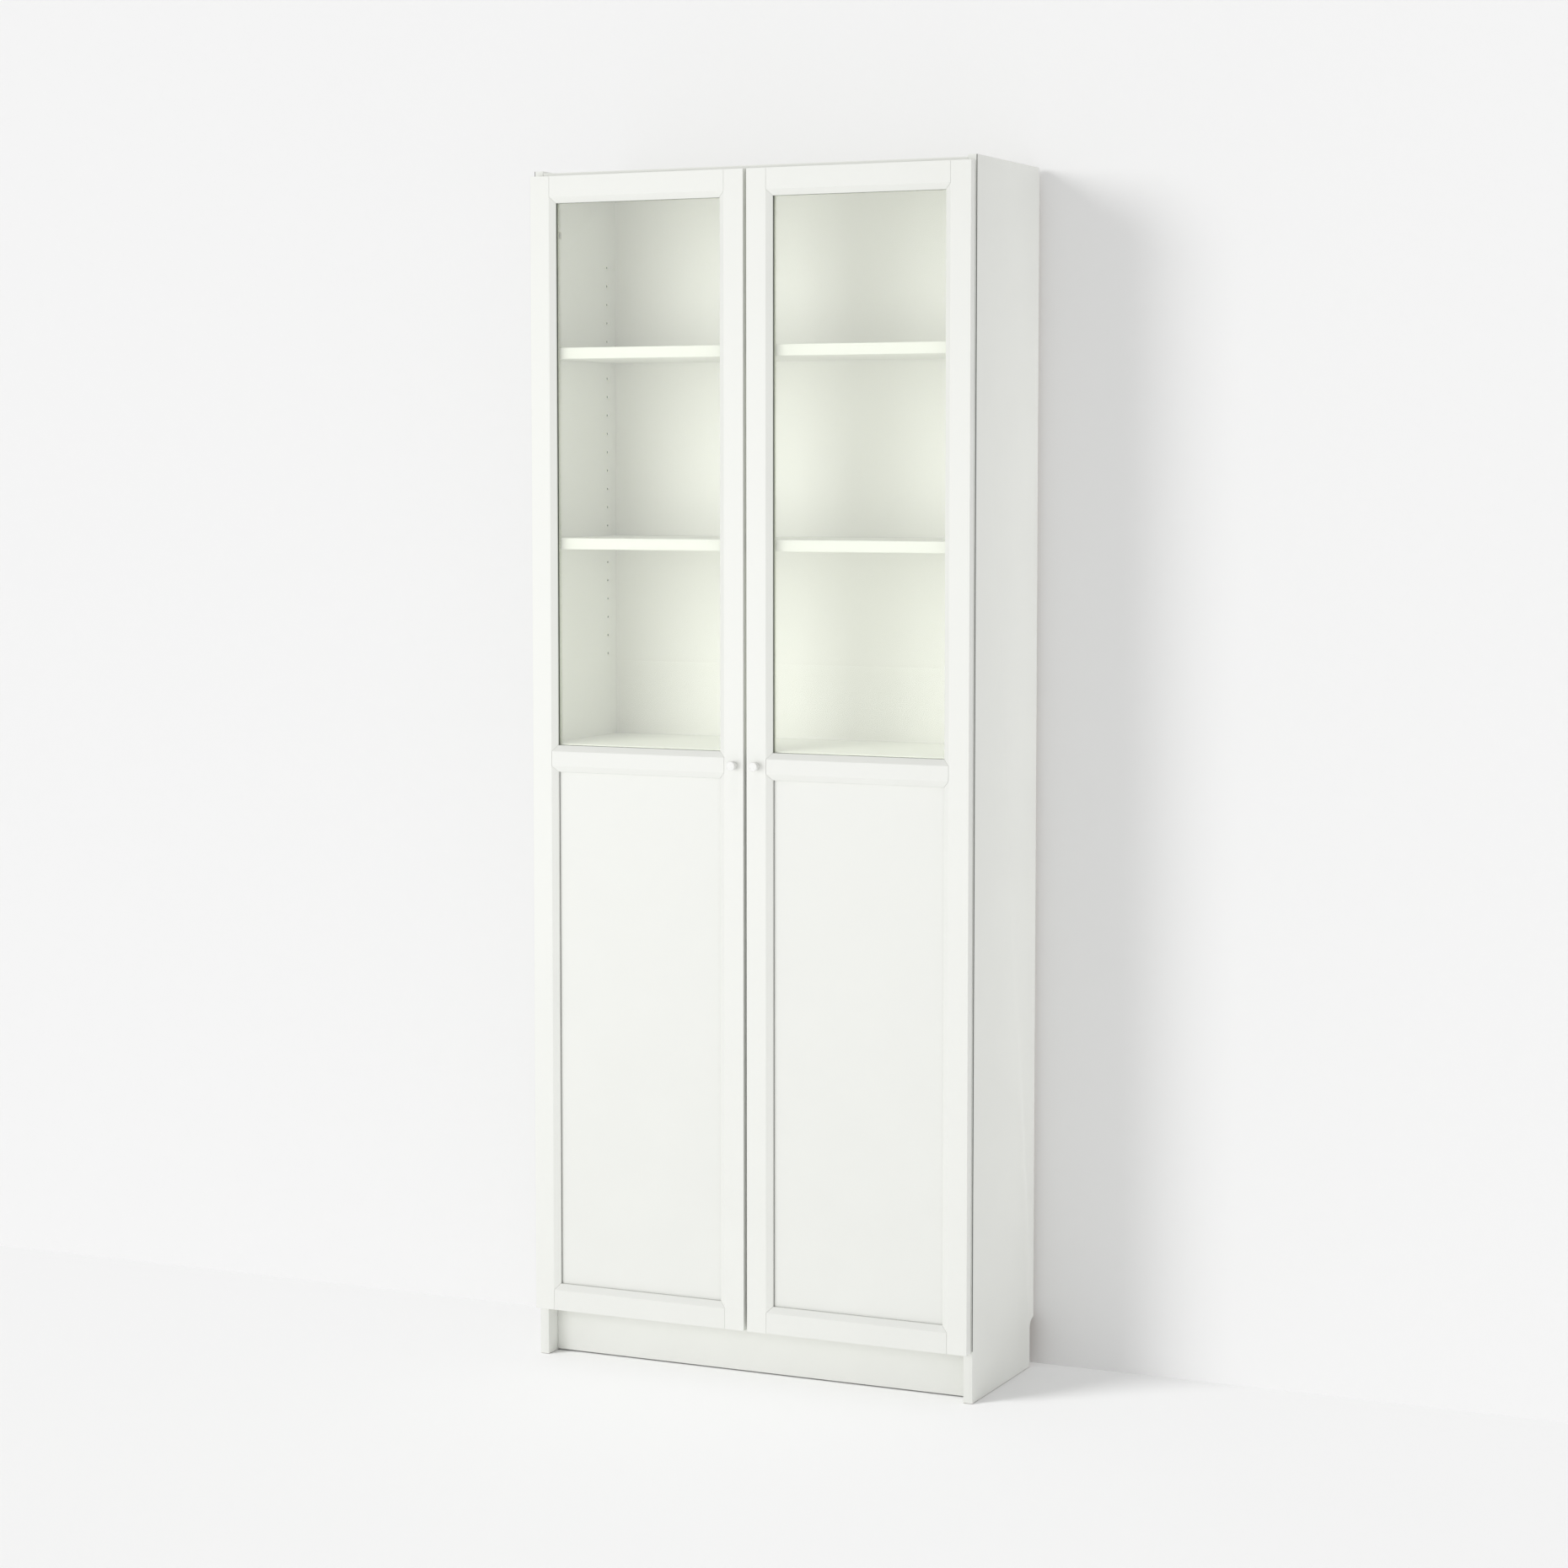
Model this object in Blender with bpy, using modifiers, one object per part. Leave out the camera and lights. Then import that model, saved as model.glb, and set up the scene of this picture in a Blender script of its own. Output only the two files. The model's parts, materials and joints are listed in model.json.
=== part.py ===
# Tall free-standing bookcase with a pair of doors, glazed above and panelled below.
# Metres, +Z up. The front faces -Y, and the origin is under the middle of the bounding box.

import math

import bmesh
import bpy
from mathutils import Matrix

# Carcass boards
WIDTH = 0.800
HEIGHT = 2.020
DEPTH = 0.280
SIDE_THICKNESS = 0.016
TOP_THICKNESS = 0.020
TOP_DROP = 0.0035  # the side panels stand this far above the top panel
BOTTOM_THICKNESS = 0.019
SHELF_THICKNESS = 0.019
FIXED_SHELF_TOP = 1.0565
PLINTH_HEIGHT = 0.085
PLINTH_THICKNESS = 0.016
PLINTH_SETBACK = 0.032
SKIRTING_DEPTH = 0.017  # notch at the foot of each side panel, for a skirting board
SKIRTING_HEIGHT = 0.0835
BOARD_EASE = 0.0006
SEAM = 0.0003  # clearance between pieces that touch

# Back panel
BACK_THICKNESS = 0.003
BACK_INSET = 0.0137  # from the side panels' rear edges to the back panel
GROOVE_DEPTH = 0.005

# Adjustable shelves and the holes that their pins go in
HOLE_RADIUS = 0.0017
HOLE_DEPTH = 0.010
HOLE_PITCH = 0.032
UPPER_HOLES_UP = 0.1423  # from the fixed shelf's top to the first hole above it
LOWER_HOLES_UP = 0.1348  # from the bottom panel's top to the first hole above it
HOLES_BELOW = 0.120  # least distance from the last hole to the board above it
FRONT_LINE = 0.037  # from the front edges to the front holes and to the hinge plates' screws
REAR_LINE = 0.0493  # from the rear edges to the rear holes
SHELF_SETBACK = 0.003
SHELF_REAR_GAP = 0.0015
SHELF_END_GAP = 0.0015
SHELF_SINK = 0.0048  # a shelf's underside lies this far below its pins' centres
SHELVES = 2  # above the fixed shelf, and as many below it
PIN_RADIUS = 0.0014
PIN_SHANK = 0.008
PIN_HEAD = 0.012
PIN_COLLAR_RADIUS = 0.0027
PIN_COLLAR = 0.0010
PIN_TIP = 0.0005

# Doors
DOOR_THICKNESS = 0.018
DOOR_GAP = 0.002  # from a closed door's back to the carcass
DOOR_HEAD_DROP = 0.010  # from the side panels' upper ends to the doors'
DOOR_OVERHANG = 0.001  # how far the doors reach below the bottom panel
DOOR_REVEAL = 0.0025
DOOR_CENTRE_GAP = 0.006
FRAME_EASE = 0.0002
FRAME_FLAT = 0.035
CHAMFER_RUN = 0.010
CHAMFER_DROP = 0.006
REAR_LIP = 0.0024  # from the groove for the glass and the panel to the door's back
MID_RAIL_FLAT = 0.025
MID_RAIL_DROP = 0.0243  # from the fixed shelf's top to the middle rails' centre lines
INFILL_THICKNESS = 0.004
INFILL_SEAT = 0.0055
KNOB_LENGTH = 0.014
KNOB_HEAD_RADIUS = 0.008
KNOB_HEAD = 0.0035
KNOB_NECK_RADIUS = 0.0055
KNOB_BASE_RADIUS = 0.0066
KNOB_BASE = 0.0046
KNOB_ROUNDING = 0.0012
KNOB_UNDERCUT = 0.0006

# Hinges
HINGE_INSET = 0.095  # from a door's ends to its outer hinges
MID_HINGE_DROP = 0.0372  # from the middle rail's centre line to the middle hinge
PIVOT_INSET = 0.006  # from the door's outer edge
SWING_CLEARANCE = 0.00035
CUP_RADIUS = 0.0175
CUP_EDGE = 0.0025  # wood left between the cup's bore and the door's edge
CUP_WALL = 0.0008
CUP_FLANGE = 0.0008
CUP_FLANGE_RADIUS = 0.0195
CUP_EAR_RADIUS = 0.0045
CUP_EAR_REACH = 0.024
CUP_EAR_OFFSET = 0.006
CUP_SCREW_RADIUS = 0.0022
HINGE_PIN_RADIUS = 0.0010
HINGE_PIN_CLEARANCE = 0.00025
HINGE_PIN_LENGTH = 0.014
KNUCKLE_RADIUS = 0.0022
KNUCKLE_LENGTH = 0.010
KNUCKLE_CLEARANCE = 0.0004
LUG_THICKNESS = 0.0032
ARM_THICKNESS = 0.0018
ARM_HEIGHT = 0.010
ARM_TAIL = 0.0105  # from the plate's screws to the end of the arm
ARM_FLANGE = 0.0013
ARM_BEND = 0.0025  # each bend starts this far before its corner
ARM_CLEARANCE = 0.00045
ARM_LEAD = 0.002
ARM_RISE = 0.006
SLOT_RADIUS = 0.0024
SLOT_INSET = 0.0096  # from either end of the arm's web to its slots
PLATE_WING = 0.002
PLATE_WIDTH = 0.016
PLATE_LENGTH = 0.045
PLATE_SCREW_SPACING = 0.032
PLATE_HOLE_RADIUS = 0.0023
RIDGE_LEAD = 0.006  # from the end of the arm's slope to the plate's ridge

# Facets of round shapes
CUP_SEGMENTS = 20
KNOB_SEGMENTS = 24
PIN_SEGMENTS = 10
SMALL_SEGMENTS = 10
HOLE_SEGMENTS = 6
ARC_STEPS = 4

# Working values
OVERRUN = 0.005  # how far cutters run past what they cut
WELD = 0.00001
EASED_ANGLE = math.radians(60)  # edges sharper than this are eased
SMOOTH_ANGLE = math.radians(35)

# Places that follow from the sizes above
KNOB_REACH = DOOR_GAP + DOOR_THICKNESS + SEAM + KNOB_LENGTH
FRONT = (KNOB_REACH - DEPTH) / 2  # the side panels' front edges
INNER = WIDTH / 2 - SIDE_THICKNESS
BACK_FRONT = DEPTH - BACK_INSET - BACK_THICKNESS
PIN_LINES = {"front": FRONT_LINE, "rear": DEPTH - REAR_LINE}
DOOR_BACK = -DOOR_GAP
DOOR_FRONT = DOOR_BACK - DOOR_THICKNESS
DOOR_WIDTH = (WIDTH - 2 * DOOR_REVEAL - DOOR_CENTRE_GAP) / 2
DOOR_FOOT = PLINTH_HEIGHT - DOOR_OVERHANG
DOOR_TOP = HEIGHT - DOOR_HEAD_DROP
DOOR_HEIGHT = DOOR_TOP - DOOR_FOOT
MID_RAIL_HEIGHT = FIXED_SHELF_TOP - MID_RAIL_DROP
FRAME_WIDTH = FRAME_FLAT + CHAMFER_RUN
GROOVE_WIDTH = INFILL_THICKNESS + 2 * SEAM
GROOVE_TOP = DOOR_THICKNESS - REAR_LIP - GROOVE_WIDTH
GROOVE_SEAT = INFILL_SEAT + SEAM
TOP_OF_TOP = HEIGHT - TOP_DROP
TOP_UNDERSIDE = TOP_OF_TOP - TOP_THICKNESS
FIXED_SHELF_UNDERSIDE = FIXED_SHELF_TOP - SHELF_THICKNESS
BOTTOM_TOP = PLINTH_HEIGHT + BOTTOM_THICKNESS
UPPER_SPACE = (FIXED_SHELF_TOP, TOP_UNDERSIDE, UPPER_HOLES_UP)
LOWER_SPACE = (BOTTOM_TOP, FIXED_SHELF_UNDERSIDE, LOWER_HOLES_UP)
HINGE_HEIGHTS = (DOOR_TOP - HINGE_INSET, MID_RAIL_HEIGHT - MID_HINGE_DROP, DOOR_FOOT + HINGE_INSET)
PIVOT_SWEEP = DOOR_GAP - SWING_CLEARANCE
PIVOT_DEPTH = (PIVOT_INSET**2 - PIVOT_SWEEP**2) / (2 * PIVOT_SWEEP)
PIVOT_X = WIDTH / 2 - DOOR_REVEAL - PIVOT_INSET
PIVOT_Y = DOOR_BACK - PIVOT_DEPTH
PANEL_FACE = PIVOT_X - INNER  # from the pivot to the side panel's inner face
CARCASS_FACE = PIVOT_DEPTH + DOOR_GAP  # from the pivot back to the carcass

# Places in a hinge, from its pivot: x towards the middle of the cabinet, y back, z up
CUP_CENTRE = CUP_EDGE + CUP_RADIUS - PIVOT_INSET
CUP_FLOOR = -(KNUCKLE_RADIUS + KNUCKLE_CLEARANCE)
CUP_BORE_DEPTH = PIVOT_DEPTH - CUP_FLOOR + CUP_WALL + SEAM
CUP_RIM = PIVOT_DEPTH + SEAM + CUP_FLANGE
WINDOW = KNUCKLE_LENGTH / 2 + SEAM
HINGE_BORE_RADIUS = HINGE_PIN_RADIUS + HINGE_PIN_CLEARANCE
NECK_X = math.hypot(PIVOT_INSET, PIVOT_DEPTH) + ARM_CLEARANCE + ARM_THICKNESS / 2
WEB_X = PANEL_FACE + ARM_HEIGHT - ARM_THICKNESS / 2
SLOPE_START = CARCASS_FACE + ARM_LEAD
SLOPE_END = SLOPE_START + ARM_RISE
PLATE_LINE = CARCASS_FACE + FRONT_LINE
ARM_END = PLATE_LINE + ARM_TAIL
WING_TOP = PANEL_FACE + SEAM + PLATE_WING
FLANGE_INSIDE = KNUCKLE_LENGTH / 2 - SEAM

WHITE = (0.88, 0.88, 0.86)
FINISHES = {
    "board": (WHITE, 0.45, 0.0),
    "back_board": ((0.85, 0.86, 0.83), 0.5, 0.0),
    "door_frame": (WHITE, 0.38, 0.0),
    "door_panel": ((0.89, 0.89, 0.87), 0.4, 0.0),
    "glass": ((0.86, 0.92, 0.88), 0.03, 0.0),
    "knob": ((0.86, 0.86, 0.85), 0.3, 0.0),
    "hinge_steel": ((0.62, 0.62, 0.61), 0.3, 1.0),
    "pin_steel": ((0.66, 0.66, 0.65), 0.35, 1.0),
}

# Axes of a flat outline: (x, y) seen from above, (y, z) seen from the side, (x, z) seen from the front
FROM_ABOVE = Matrix.Identity(3)
FROM_SIDE = Matrix(((0, 0, 1), (1, 0, 0), (0, 1, 0)))
FROM_FRONT = Matrix(((1, 0, 0), (0, 0, -1), (0, 1, 0)))
ALONG_Z = Matrix.Identity(3)
ALONG_X = FROM_SIDE
ALONG_Y = FROM_FRONT


def clear_scene():
    for thing in list(bpy.data.objects):
        bpy.data.objects.remove(thing, do_unlink=True)


def new_collection(name):
    group = bpy.data.collections.new(name)
    bpy.context.scene.collection.children.link(group)
    return group


clear_scene()
PARTS = new_collection("bookcase_with_doors")
CUTTERS = new_collection("cutters")


def finish(name):
    """The material of one finish, made on first use."""
    material = bpy.data.materials.get(name)
    if material is None:
        colour, roughness, metallic = FINISHES[name]
        material = bpy.data.materials.new(name)
        material.use_nodes = True
        shader = material.node_tree.nodes["Principled BSDF"]
        shader.inputs["Base Color"].default_value = (*colour, 1)
        shader.inputs["Roughness"].default_value = roughness
        shader.inputs["Metallic"].default_value = metallic
    return material


# Meshes

def mesh_from(name, shape):
    bmesh.ops.recalc_face_normals(shape, faces=shape.faces)
    mesh = bpy.data.meshes.new(name)
    shape.to_mesh(mesh)
    shape.free()
    return mesh


def cube_mesh(name, size):
    shape = bmesh.new()
    bmesh.ops.create_cube(shape, size=1)
    bmesh.ops.scale(shape, vec=size, verts=shape.verts)
    return mesh_from(name, shape)


def rods_mesh(name, radius, length, segments, centres, turn):
    """Cylinders of one size, each about its own centre, in one mesh."""
    shape = bmesh.new()
    for centre in centres:
        place = Matrix.Translation(centre) @ turn.to_4x4() @ Matrix.Rotation(math.pi / segments, 4, "Z")
        bmesh.ops.create_cone(
            shape,
            cap_ends=True,
            segments=segments,
            radius1=radius,
            radius2=radius,
            depth=length,
            matrix=place,
        )
    return mesh_from(name, shape)


def outline_mesh(name, points, thickness):
    """A flat outline made solid, half its thickness to each side."""
    curve = bpy.data.curves.new(name, "CURVE")
    curve.dimensions = "2D"
    curve.fill_mode = "BOTH"
    curve.extrude = thickness / 2
    spline = curve.splines.new("POLY")
    spline.points.add(len(points) - 1)
    for point, (across, up) in zip(spline.points, points):
        point.co = (across, up, 0, 1)
    spline.use_cyclic_u = True
    holder = bpy.data.objects.new(name, curve)
    bpy.context.scene.collection.objects.link(holder)
    graph = bpy.context.evaluated_depsgraph_get()
    filled = bpy.data.meshes.new_from_object(holder.evaluated_get(graph))
    shape = bmesh.new()
    shape.from_mesh(filled)
    bmesh.ops.remove_doubles(shape, verts=shape.verts, dist=WELD)
    bpy.data.meshes.remove(filled)
    bpy.data.objects.remove(holder, do_unlink=True)
    bpy.data.curves.remove(curve)
    return mesh_from(name, shape)


def profile_mesh(name, points):
    """The half section (radius, height) of a turned piece, for a Screw modifier."""
    shape = bmesh.new()
    corners = [shape.verts.new((radius, 0, height)) for radius, height in points]
    for first, second in zip(corners, corners[1:]):
        shape.edges.new((first, second))
    mesh = bpy.data.meshes.new(name)
    shape.to_mesh(mesh)
    shape.free()
    return mesh


# Outlines

def arc(centre, radius, start, end, steps=ARC_STEPS):
    """Points on an arc, with angles in degrees."""
    points = []
    for step in range(steps + 1):
        angle = math.radians(start + (end - start) * step / steps)
        points.append((centre[0] + radius * math.cos(angle), centre[1] + radius * math.sin(angle)))
    return points


def flipped(points, sign):
    return [(sign * across, up) for across, up in points]


def rounded_path(points, radius, steps=ARC_STEPS):
    """A path whose inner corners are quadratic curves that start one radius before the corner."""
    path = [points[0]]
    for before, corner, after in zip(points, points[1:], points[2:]):
        ends = []
        for other in (before, after):
            length = math.dist(corner, other)
            ends.append([c + (o - c) * radius / length for c, o in zip(corner, other)])
        for step in range(steps + 1):
            t = step / steps
            path.append(
                tuple(
                    (1 - t) ** 2 * a + 2 * t * (1 - t) * c + t**2 * b
                    for a, c, b in zip(ends[0], corner, ends[1])
                )
            )
    path.append(points[-1])
    return path


def ribbon(path, thickness):
    """The outline of a strip bent along a path."""
    sides = ([], [])
    for index, (across, up) in enumerate(path):
        before = path[max(index - 1, 0)]
        after = path[min(index + 1, len(path) - 1)]
        length = math.dist(before, after)
        offset = ((before[1] - after[1]) / length, (after[0] - before[0]) / length)
        for side, sign in zip(sides, (1, -1)):
            side.append((across + sign * offset[0] * thickness / 2, up + sign * offset[1] * thickness / 2))
    return sides[0] + sides[1][::-1]


def stadium(centre, length, width):
    """A slot shape that stands upright, with round ends."""
    radius = width / 2
    reach = length / 2 - radius
    upper = arc((centre[0], centre[1] + reach), radius, 0, 180)
    lower = arc((centre[0], centre[1] - reach), radius, 180, 360)
    return upper + lower


# Objects

def place(name, mesh, location=(0, 0, 0), turn=None, material=None, parent=None, group=None):
    thing = bpy.data.objects.new(name, mesh)
    (group or PARTS).objects.link(thing)
    thing.location = location
    if turn is not None:
        thing.rotation_euler = turn.to_euler()
    if parent is not None:
        thing.parent = parent
        thing.location = [a - b for a, b in zip(location, parent.location)]
    if material is not None:
        mesh.materials.clear()
        mesh.materials.append(finish(material))
    return thing


def board(name, low, high, material, parent=None, width=BOARD_EASE):
    """A rectangular board between two corners, measured from the carcass front and the floor."""
    size = [b - a for a, b in zip(low, high)]
    middle = [(a + b) / 2 for a, b in zip(low, high)]
    middle[1] += FRONT
    thing = place(name, cube_mesh(name, size), middle, None, material, parent)
    ease(thing, width)
    return thing


def ease(thing, width):
    """Takes the sharpness off the square edges."""
    bevel = thing.modifiers.new("eased_edges", "BEVEL")
    bevel.width = width
    bevel.segments = 1
    bevel.limit_method = "ANGLE"
    bevel.angle_limit = EASED_ANGLE


def combine(thing, mesh, operation="DIFFERENCE", location=None, turn=None):
    """Cuts a mesh from an object, or joins it on. Unless it has its own place, it sits as the object does."""
    tool = place(thing.name + "_tool", mesh, location or (0, 0, 0), turn, group=CUTTERS)
    tool.hide_render = True
    tool.display_type = "WIRE"
    if location is None:
        tool.parent = thing
    boolean = thing.modifiers.new("shape", "BOOLEAN")
    boolean.operation = operation
    boolean.solver = "EXACT"
    boolean.object = tool
    return tool


def box_cutter(thing, low, high, operation="DIFFERENCE"):
    """A box between two corners in the object's own axes."""
    size = [b - a for a, b in zip(low, high)]
    middle = [(a + b) / 2 for a, b in zip(low, high)]
    combine(thing, cube_mesh(thing.name + "_box", size), operation).location = middle


def settled(thing):
    """The object's mesh with its modifiers worked in, for copies to share."""
    graph = bpy.context.evaluated_depsgraph_get()
    mesh = bpy.data.meshes.new_from_object(thing.evaluated_get(graph))
    mesh.name = thing.name
    return mesh


def smooth(thing):
    thing.data.shade_smooth()
    thing.data.set_sharp_from_angle(angle=SMOOTH_ANGLE)


def turned(name, profile, segments, turn, location, material, parent=None):
    """A turned piece: its half section swept about the object's own Z axis."""
    thing = place(name, profile_mesh(name, profile), location, turn, material, parent)
    screw = thing.modifiers.new("turned", "SCREW")
    screw.steps = segments
    screw.render_steps = segments
    screw.use_merge_vertices = True
    screw.merge_threshold = WELD
    screw.use_smooth_shade = True


# Carcass

def hole_heights(low, high, first):
    """Heights of the pin holes between two boards, from the lowest up."""
    room = high - HOLES_BELOW - low - first
    return [low + first + HOLE_PITCH * count for count in range(int(room / HOLE_PITCH) + 1)]


def shelf_heights(low, high, first):
    """Heights of the shelves' pins between two boards, from the top: evenly spread, on the next hole up."""
    heights = []
    for share in range(SHELVES, 0, -1):
        even = (high - low) * share / (SHELVES + 1)
        holes_up = math.ceil((even - first) / HOLE_PITCH)
        heights.append(low + first + holes_up * HOLE_PITCH)
    return heights


def side_panel(name, side):
    """One side panel, with the skirting notch, the groove for the back and the pin holes."""
    notch_centre = (DEPTH, SKIRTING_HEIGHT - SKIRTING_DEPTH)
    notch = arc(notch_centre, SKIRTING_DEPTH, 180, 90)
    outline = [(0, 0), (DEPTH - SKIRTING_DEPTH, 0), *notch, (DEPTH, HEIGHT), (0, HEIGHT)]
    middle = side * (WIDTH / 2 - SIDE_THICKNESS / 2)
    panel = place(
        name, outline_mesh(name, outline, SIDE_THICKNESS), (middle, FRONT, 0), FROM_SIDE, "board"
    )
    ease(panel, BOARD_EASE)
    face = side * INNER
    groove_size = (2 * GROOVE_DEPTH, BACK_THICKNESS + 2 * SEAM, TOP_UNDERSIDE + GROOVE_DEPTH - DOOR_FOOT)
    groove_middle = (face, FRONT + BACK_FRONT + BACK_THICKNESS / 2, DOOR_FOOT + groove_size[2] / 2)
    combine(panel, cube_mesh(name + "_groove", groove_size), location=groove_middle)
    heights = hole_heights(*UPPER_SPACE) + hole_heights(*LOWER_SPACE)
    centres = [(face, FRONT + line, height) for line in PIN_LINES.values() for height in heights]
    holes = rods_mesh(name + "_holes", HOLE_RADIUS, 2 * HOLE_DEPTH, HOLE_SEGMENTS, centres, ALONG_X)
    combine(panel, holes, location=(0, 0, 0))


def top_panel():
    half = INNER - SEAM
    top = board("top_panel", (-half, 0, TOP_UNDERSIDE), (half, DEPTH, TOP_OF_TOP), "board")
    groove = (2 * WIDTH, BACK_THICKNESS + 2 * SEAM, 2 * GROOVE_DEPTH)
    middle = (0, FRONT + BACK_FRONT + BACK_THICKNESS / 2, TOP_UNDERSIDE)
    combine(top, cube_mesh("top_groove", groove), location=middle)


def fixed_boards():
    half = INNER - SEAM
    rear = BACK_FRONT - SEAM
    plinth_rear = PLINTH_SETBACK + PLINTH_THICKNESS
    board("fixed_shelf", (-half, 0, FIXED_SHELF_UNDERSIDE), (half, rear, FIXED_SHELF_TOP), "board")
    board("bottom_panel", (-half, 0, PLINTH_HEIGHT), (half, rear, BOTTOM_TOP), "board")
    board("plinth", (-half, PLINTH_SETBACK, 0), (half, plinth_rear, PLINTH_HEIGHT - SEAM), "board")


def back_panel():
    half = INNER + GROOVE_DEPTH - SEAM
    top = TOP_UNDERSIDE + GROOVE_DEPTH - SEAM
    low = (-half, BACK_FRONT, PLINTH_HEIGHT)
    high = (half, BACK_FRONT + BACK_THICKNESS, top)
    board("back_panel", low, high, "back_board")


# Adjustable shelves and their pins

def pin_places(height):
    """(name, side, place on the side panel's inner face) of a shelf's four pins."""
    places = []
    for side, side_name in ((-1, "left"), (1, "right")):
        for line_name, line in PIN_LINES.items():
            places.append((line_name + "_" + side_name, side, (side * INNER, FRONT + line, height)))
    return places


def shelf_board(name, height):
    half = INNER - SHELF_END_GAP
    underside = height - SHELF_SINK
    low = (-half, SHELF_SETBACK, underside)
    high = (half, BACK_FRONT - SHELF_REAR_GAP, underside + SHELF_THICKNESS)
    return board(name, low, high, "board")


def notch_for_pin(shelf, spot):
    """The pin's head lies in a notch in the shelf's underside."""
    reach = PIN_HEAD + SEAM
    width = 2 * (PIN_RADIUS + SEAM)
    drop = SHELF_SINK + OVERRUN
    top = PIN_RADIUS + SEAM
    size = (2 * reach, width, drop + top)
    middle = (spot[0], spot[1], spot[2] + (top - drop) / 2)
    combine(shelf, cube_mesh(shelf.name + "_notch", size), location=middle)


def shelf_pin(name, side, spot):
    """A turned pin: its shank in the hole, a collar against the side panel and its head under the shelf."""
    collar_top = SEAM + PIN_COLLAR
    profile = [
        (0, PIN_HEAD),
        (PIN_RADIUS - PIN_TIP, PIN_HEAD),
        (PIN_RADIUS, PIN_HEAD - PIN_TIP),
        (PIN_RADIUS, collar_top),
        (PIN_COLLAR_RADIUS, collar_top),
        (PIN_COLLAR_RADIUS, SEAM),
        (PIN_RADIUS, SEAM),
        (PIN_RADIUS, -PIN_SHANK),
        (0, -PIN_SHANK),
    ]
    inward = Matrix.Rotation(-side * math.pi / 2, 3, "Y")
    turned(name, profile, PIN_SEGMENTS, inward, spot, "pin_steel")


def upper_shelf(number, height):
    """A shelf behind the glass, on four pins of its own."""
    shelf = shelf_board(f"upper_shelf_{number}", height)
    for spot_name, side, spot in pin_places(height):
        notch_for_pin(shelf, spot)
        shelf_pin(f"shelf_pin_{number}_{spot_name}", side, spot)


def lower_shelf(number, height):
    """A shelf behind the panels. Its pins are joined to it."""
    shelf = shelf_board(f"lower_shelf_{number}", height)
    centres = []
    reach = PIN_SHANK + PIN_HEAD
    for _, side, spot in pin_places(height):
        centres.append((spot[0] + side * (PIN_SHANK - reach / 2), spot[1], spot[2]))
    pins = rods_mesh(shelf.name + "_pins", PIN_RADIUS, reach, PIN_SEGMENTS, centres, ALONG_X)
    combine(shelf, pins, "UNION", location=(0, 0, 0))


# Door frames, drawn from a door edge inwards and from the front face back

def frame_section():
    """Section of a stile, or of a top or bottom rail: a flat, a chamfer, a lip and a groove."""
    seat = FRAME_WIDTH - GROOVE_SEAT
    groove_end = GROOVE_TOP + GROOVE_WIDTH
    return [
        (0, 0),
        (FRAME_FLAT, 0),
        (FRAME_WIDTH, CHAMFER_DROP),
        (FRAME_WIDTH, GROOVE_TOP),
        (seat, GROOVE_TOP),
        (seat, groove_end),
        (FRAME_WIDTH, groove_end),
        (FRAME_WIDTH, DOOR_THICKNESS),
        (0, DOOR_THICKNESS),
    ]


def mid_rail_section():
    """Section of the middle rail, with a chamfer and a groove on both edges, about its own centre line."""
    shift = MID_RAIL_FLAT / 2 - FRAME_FLAT
    half = [(across + shift, depth) for across, depth in frame_section()[1:-1]]
    return half + [(-across, depth) for across, depth in reversed(half)]


def rail(name, section, centre_x, height, upright, flat_edges, parent):
    """A rail between the stiles. Past its flat, each end slopes out at 45 degrees to the stile's chamfer."""
    points = [(DOOR_FRONT + depth, upright * across) for across, depth in section]
    half = DOOR_WIDTH / 2 - FRAME_FLAT - SEAM
    mesh = outline_mesh(name, points, 2 * half)
    for corner in mesh.vertices:
        past = max(0, corner.co.y - flat_edges[1], flat_edges[0] - corner.co.y)
        corner.co.z -= math.copysign(past, corner.co.z)
    thing = place(name, mesh, (centre_x, FRONT, height), FROM_SIDE, "door_frame", parent)
    ease(thing, FRAME_EASE)


def stile(name, edge_x, inward, parent):
    """A stile over the door's full height, cut back where the rails meet it."""
    points = [(inward * across, DOOR_FRONT + depth) for across, depth in frame_section()]
    middle = DOOR_FOOT + DOOR_HEIGHT / 2
    mesh = outline_mesh(name, points, DOOR_HEIGHT)
    thing = place(name, mesh, (edge_x, FRONT, middle), FROM_ABOVE, "door_frame", parent)
    far = CHAMFER_RUN + OVERRUN
    below = DOOR_FOOT - OVERRUN
    above = DOOR_TOP + OVERRUN
    reach = FRAME_FLAT + far
    low = MID_RAIL_HEIGHT - MID_RAIL_FLAT / 2
    high = MID_RAIL_HEIGHT + MID_RAIL_FLAT / 2
    foot = DOOR_FOOT + FRAME_FLAT
    head = DOOR_TOP - FRAME_FLAT
    shapes = {
        "foot": [(FRAME_FLAT, foot), (FRAME_FLAT, below), (reach, below), (reach, foot + far)],
        "mid": [(FRAME_FLAT, high), (FRAME_FLAT, low), (reach, low - far), (reach, high + far)],
        "head": [(FRAME_FLAT, above), (FRAME_FLAT, head), (reach, head - far), (reach, above)],
    }
    for where, shape in shapes.items():
        mesh = outline_mesh(name + "_" + where, flipped(shape, inward), 2 * DOOR_THICKNESS)
        combine(thing, mesh, location=(edge_x, FRONT + DOOR_FRONT + DOOR_THICKNESS / 2, 0), turn=FROM_FRONT)
    ease(thing, FRAME_EASE)
    return thing


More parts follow.
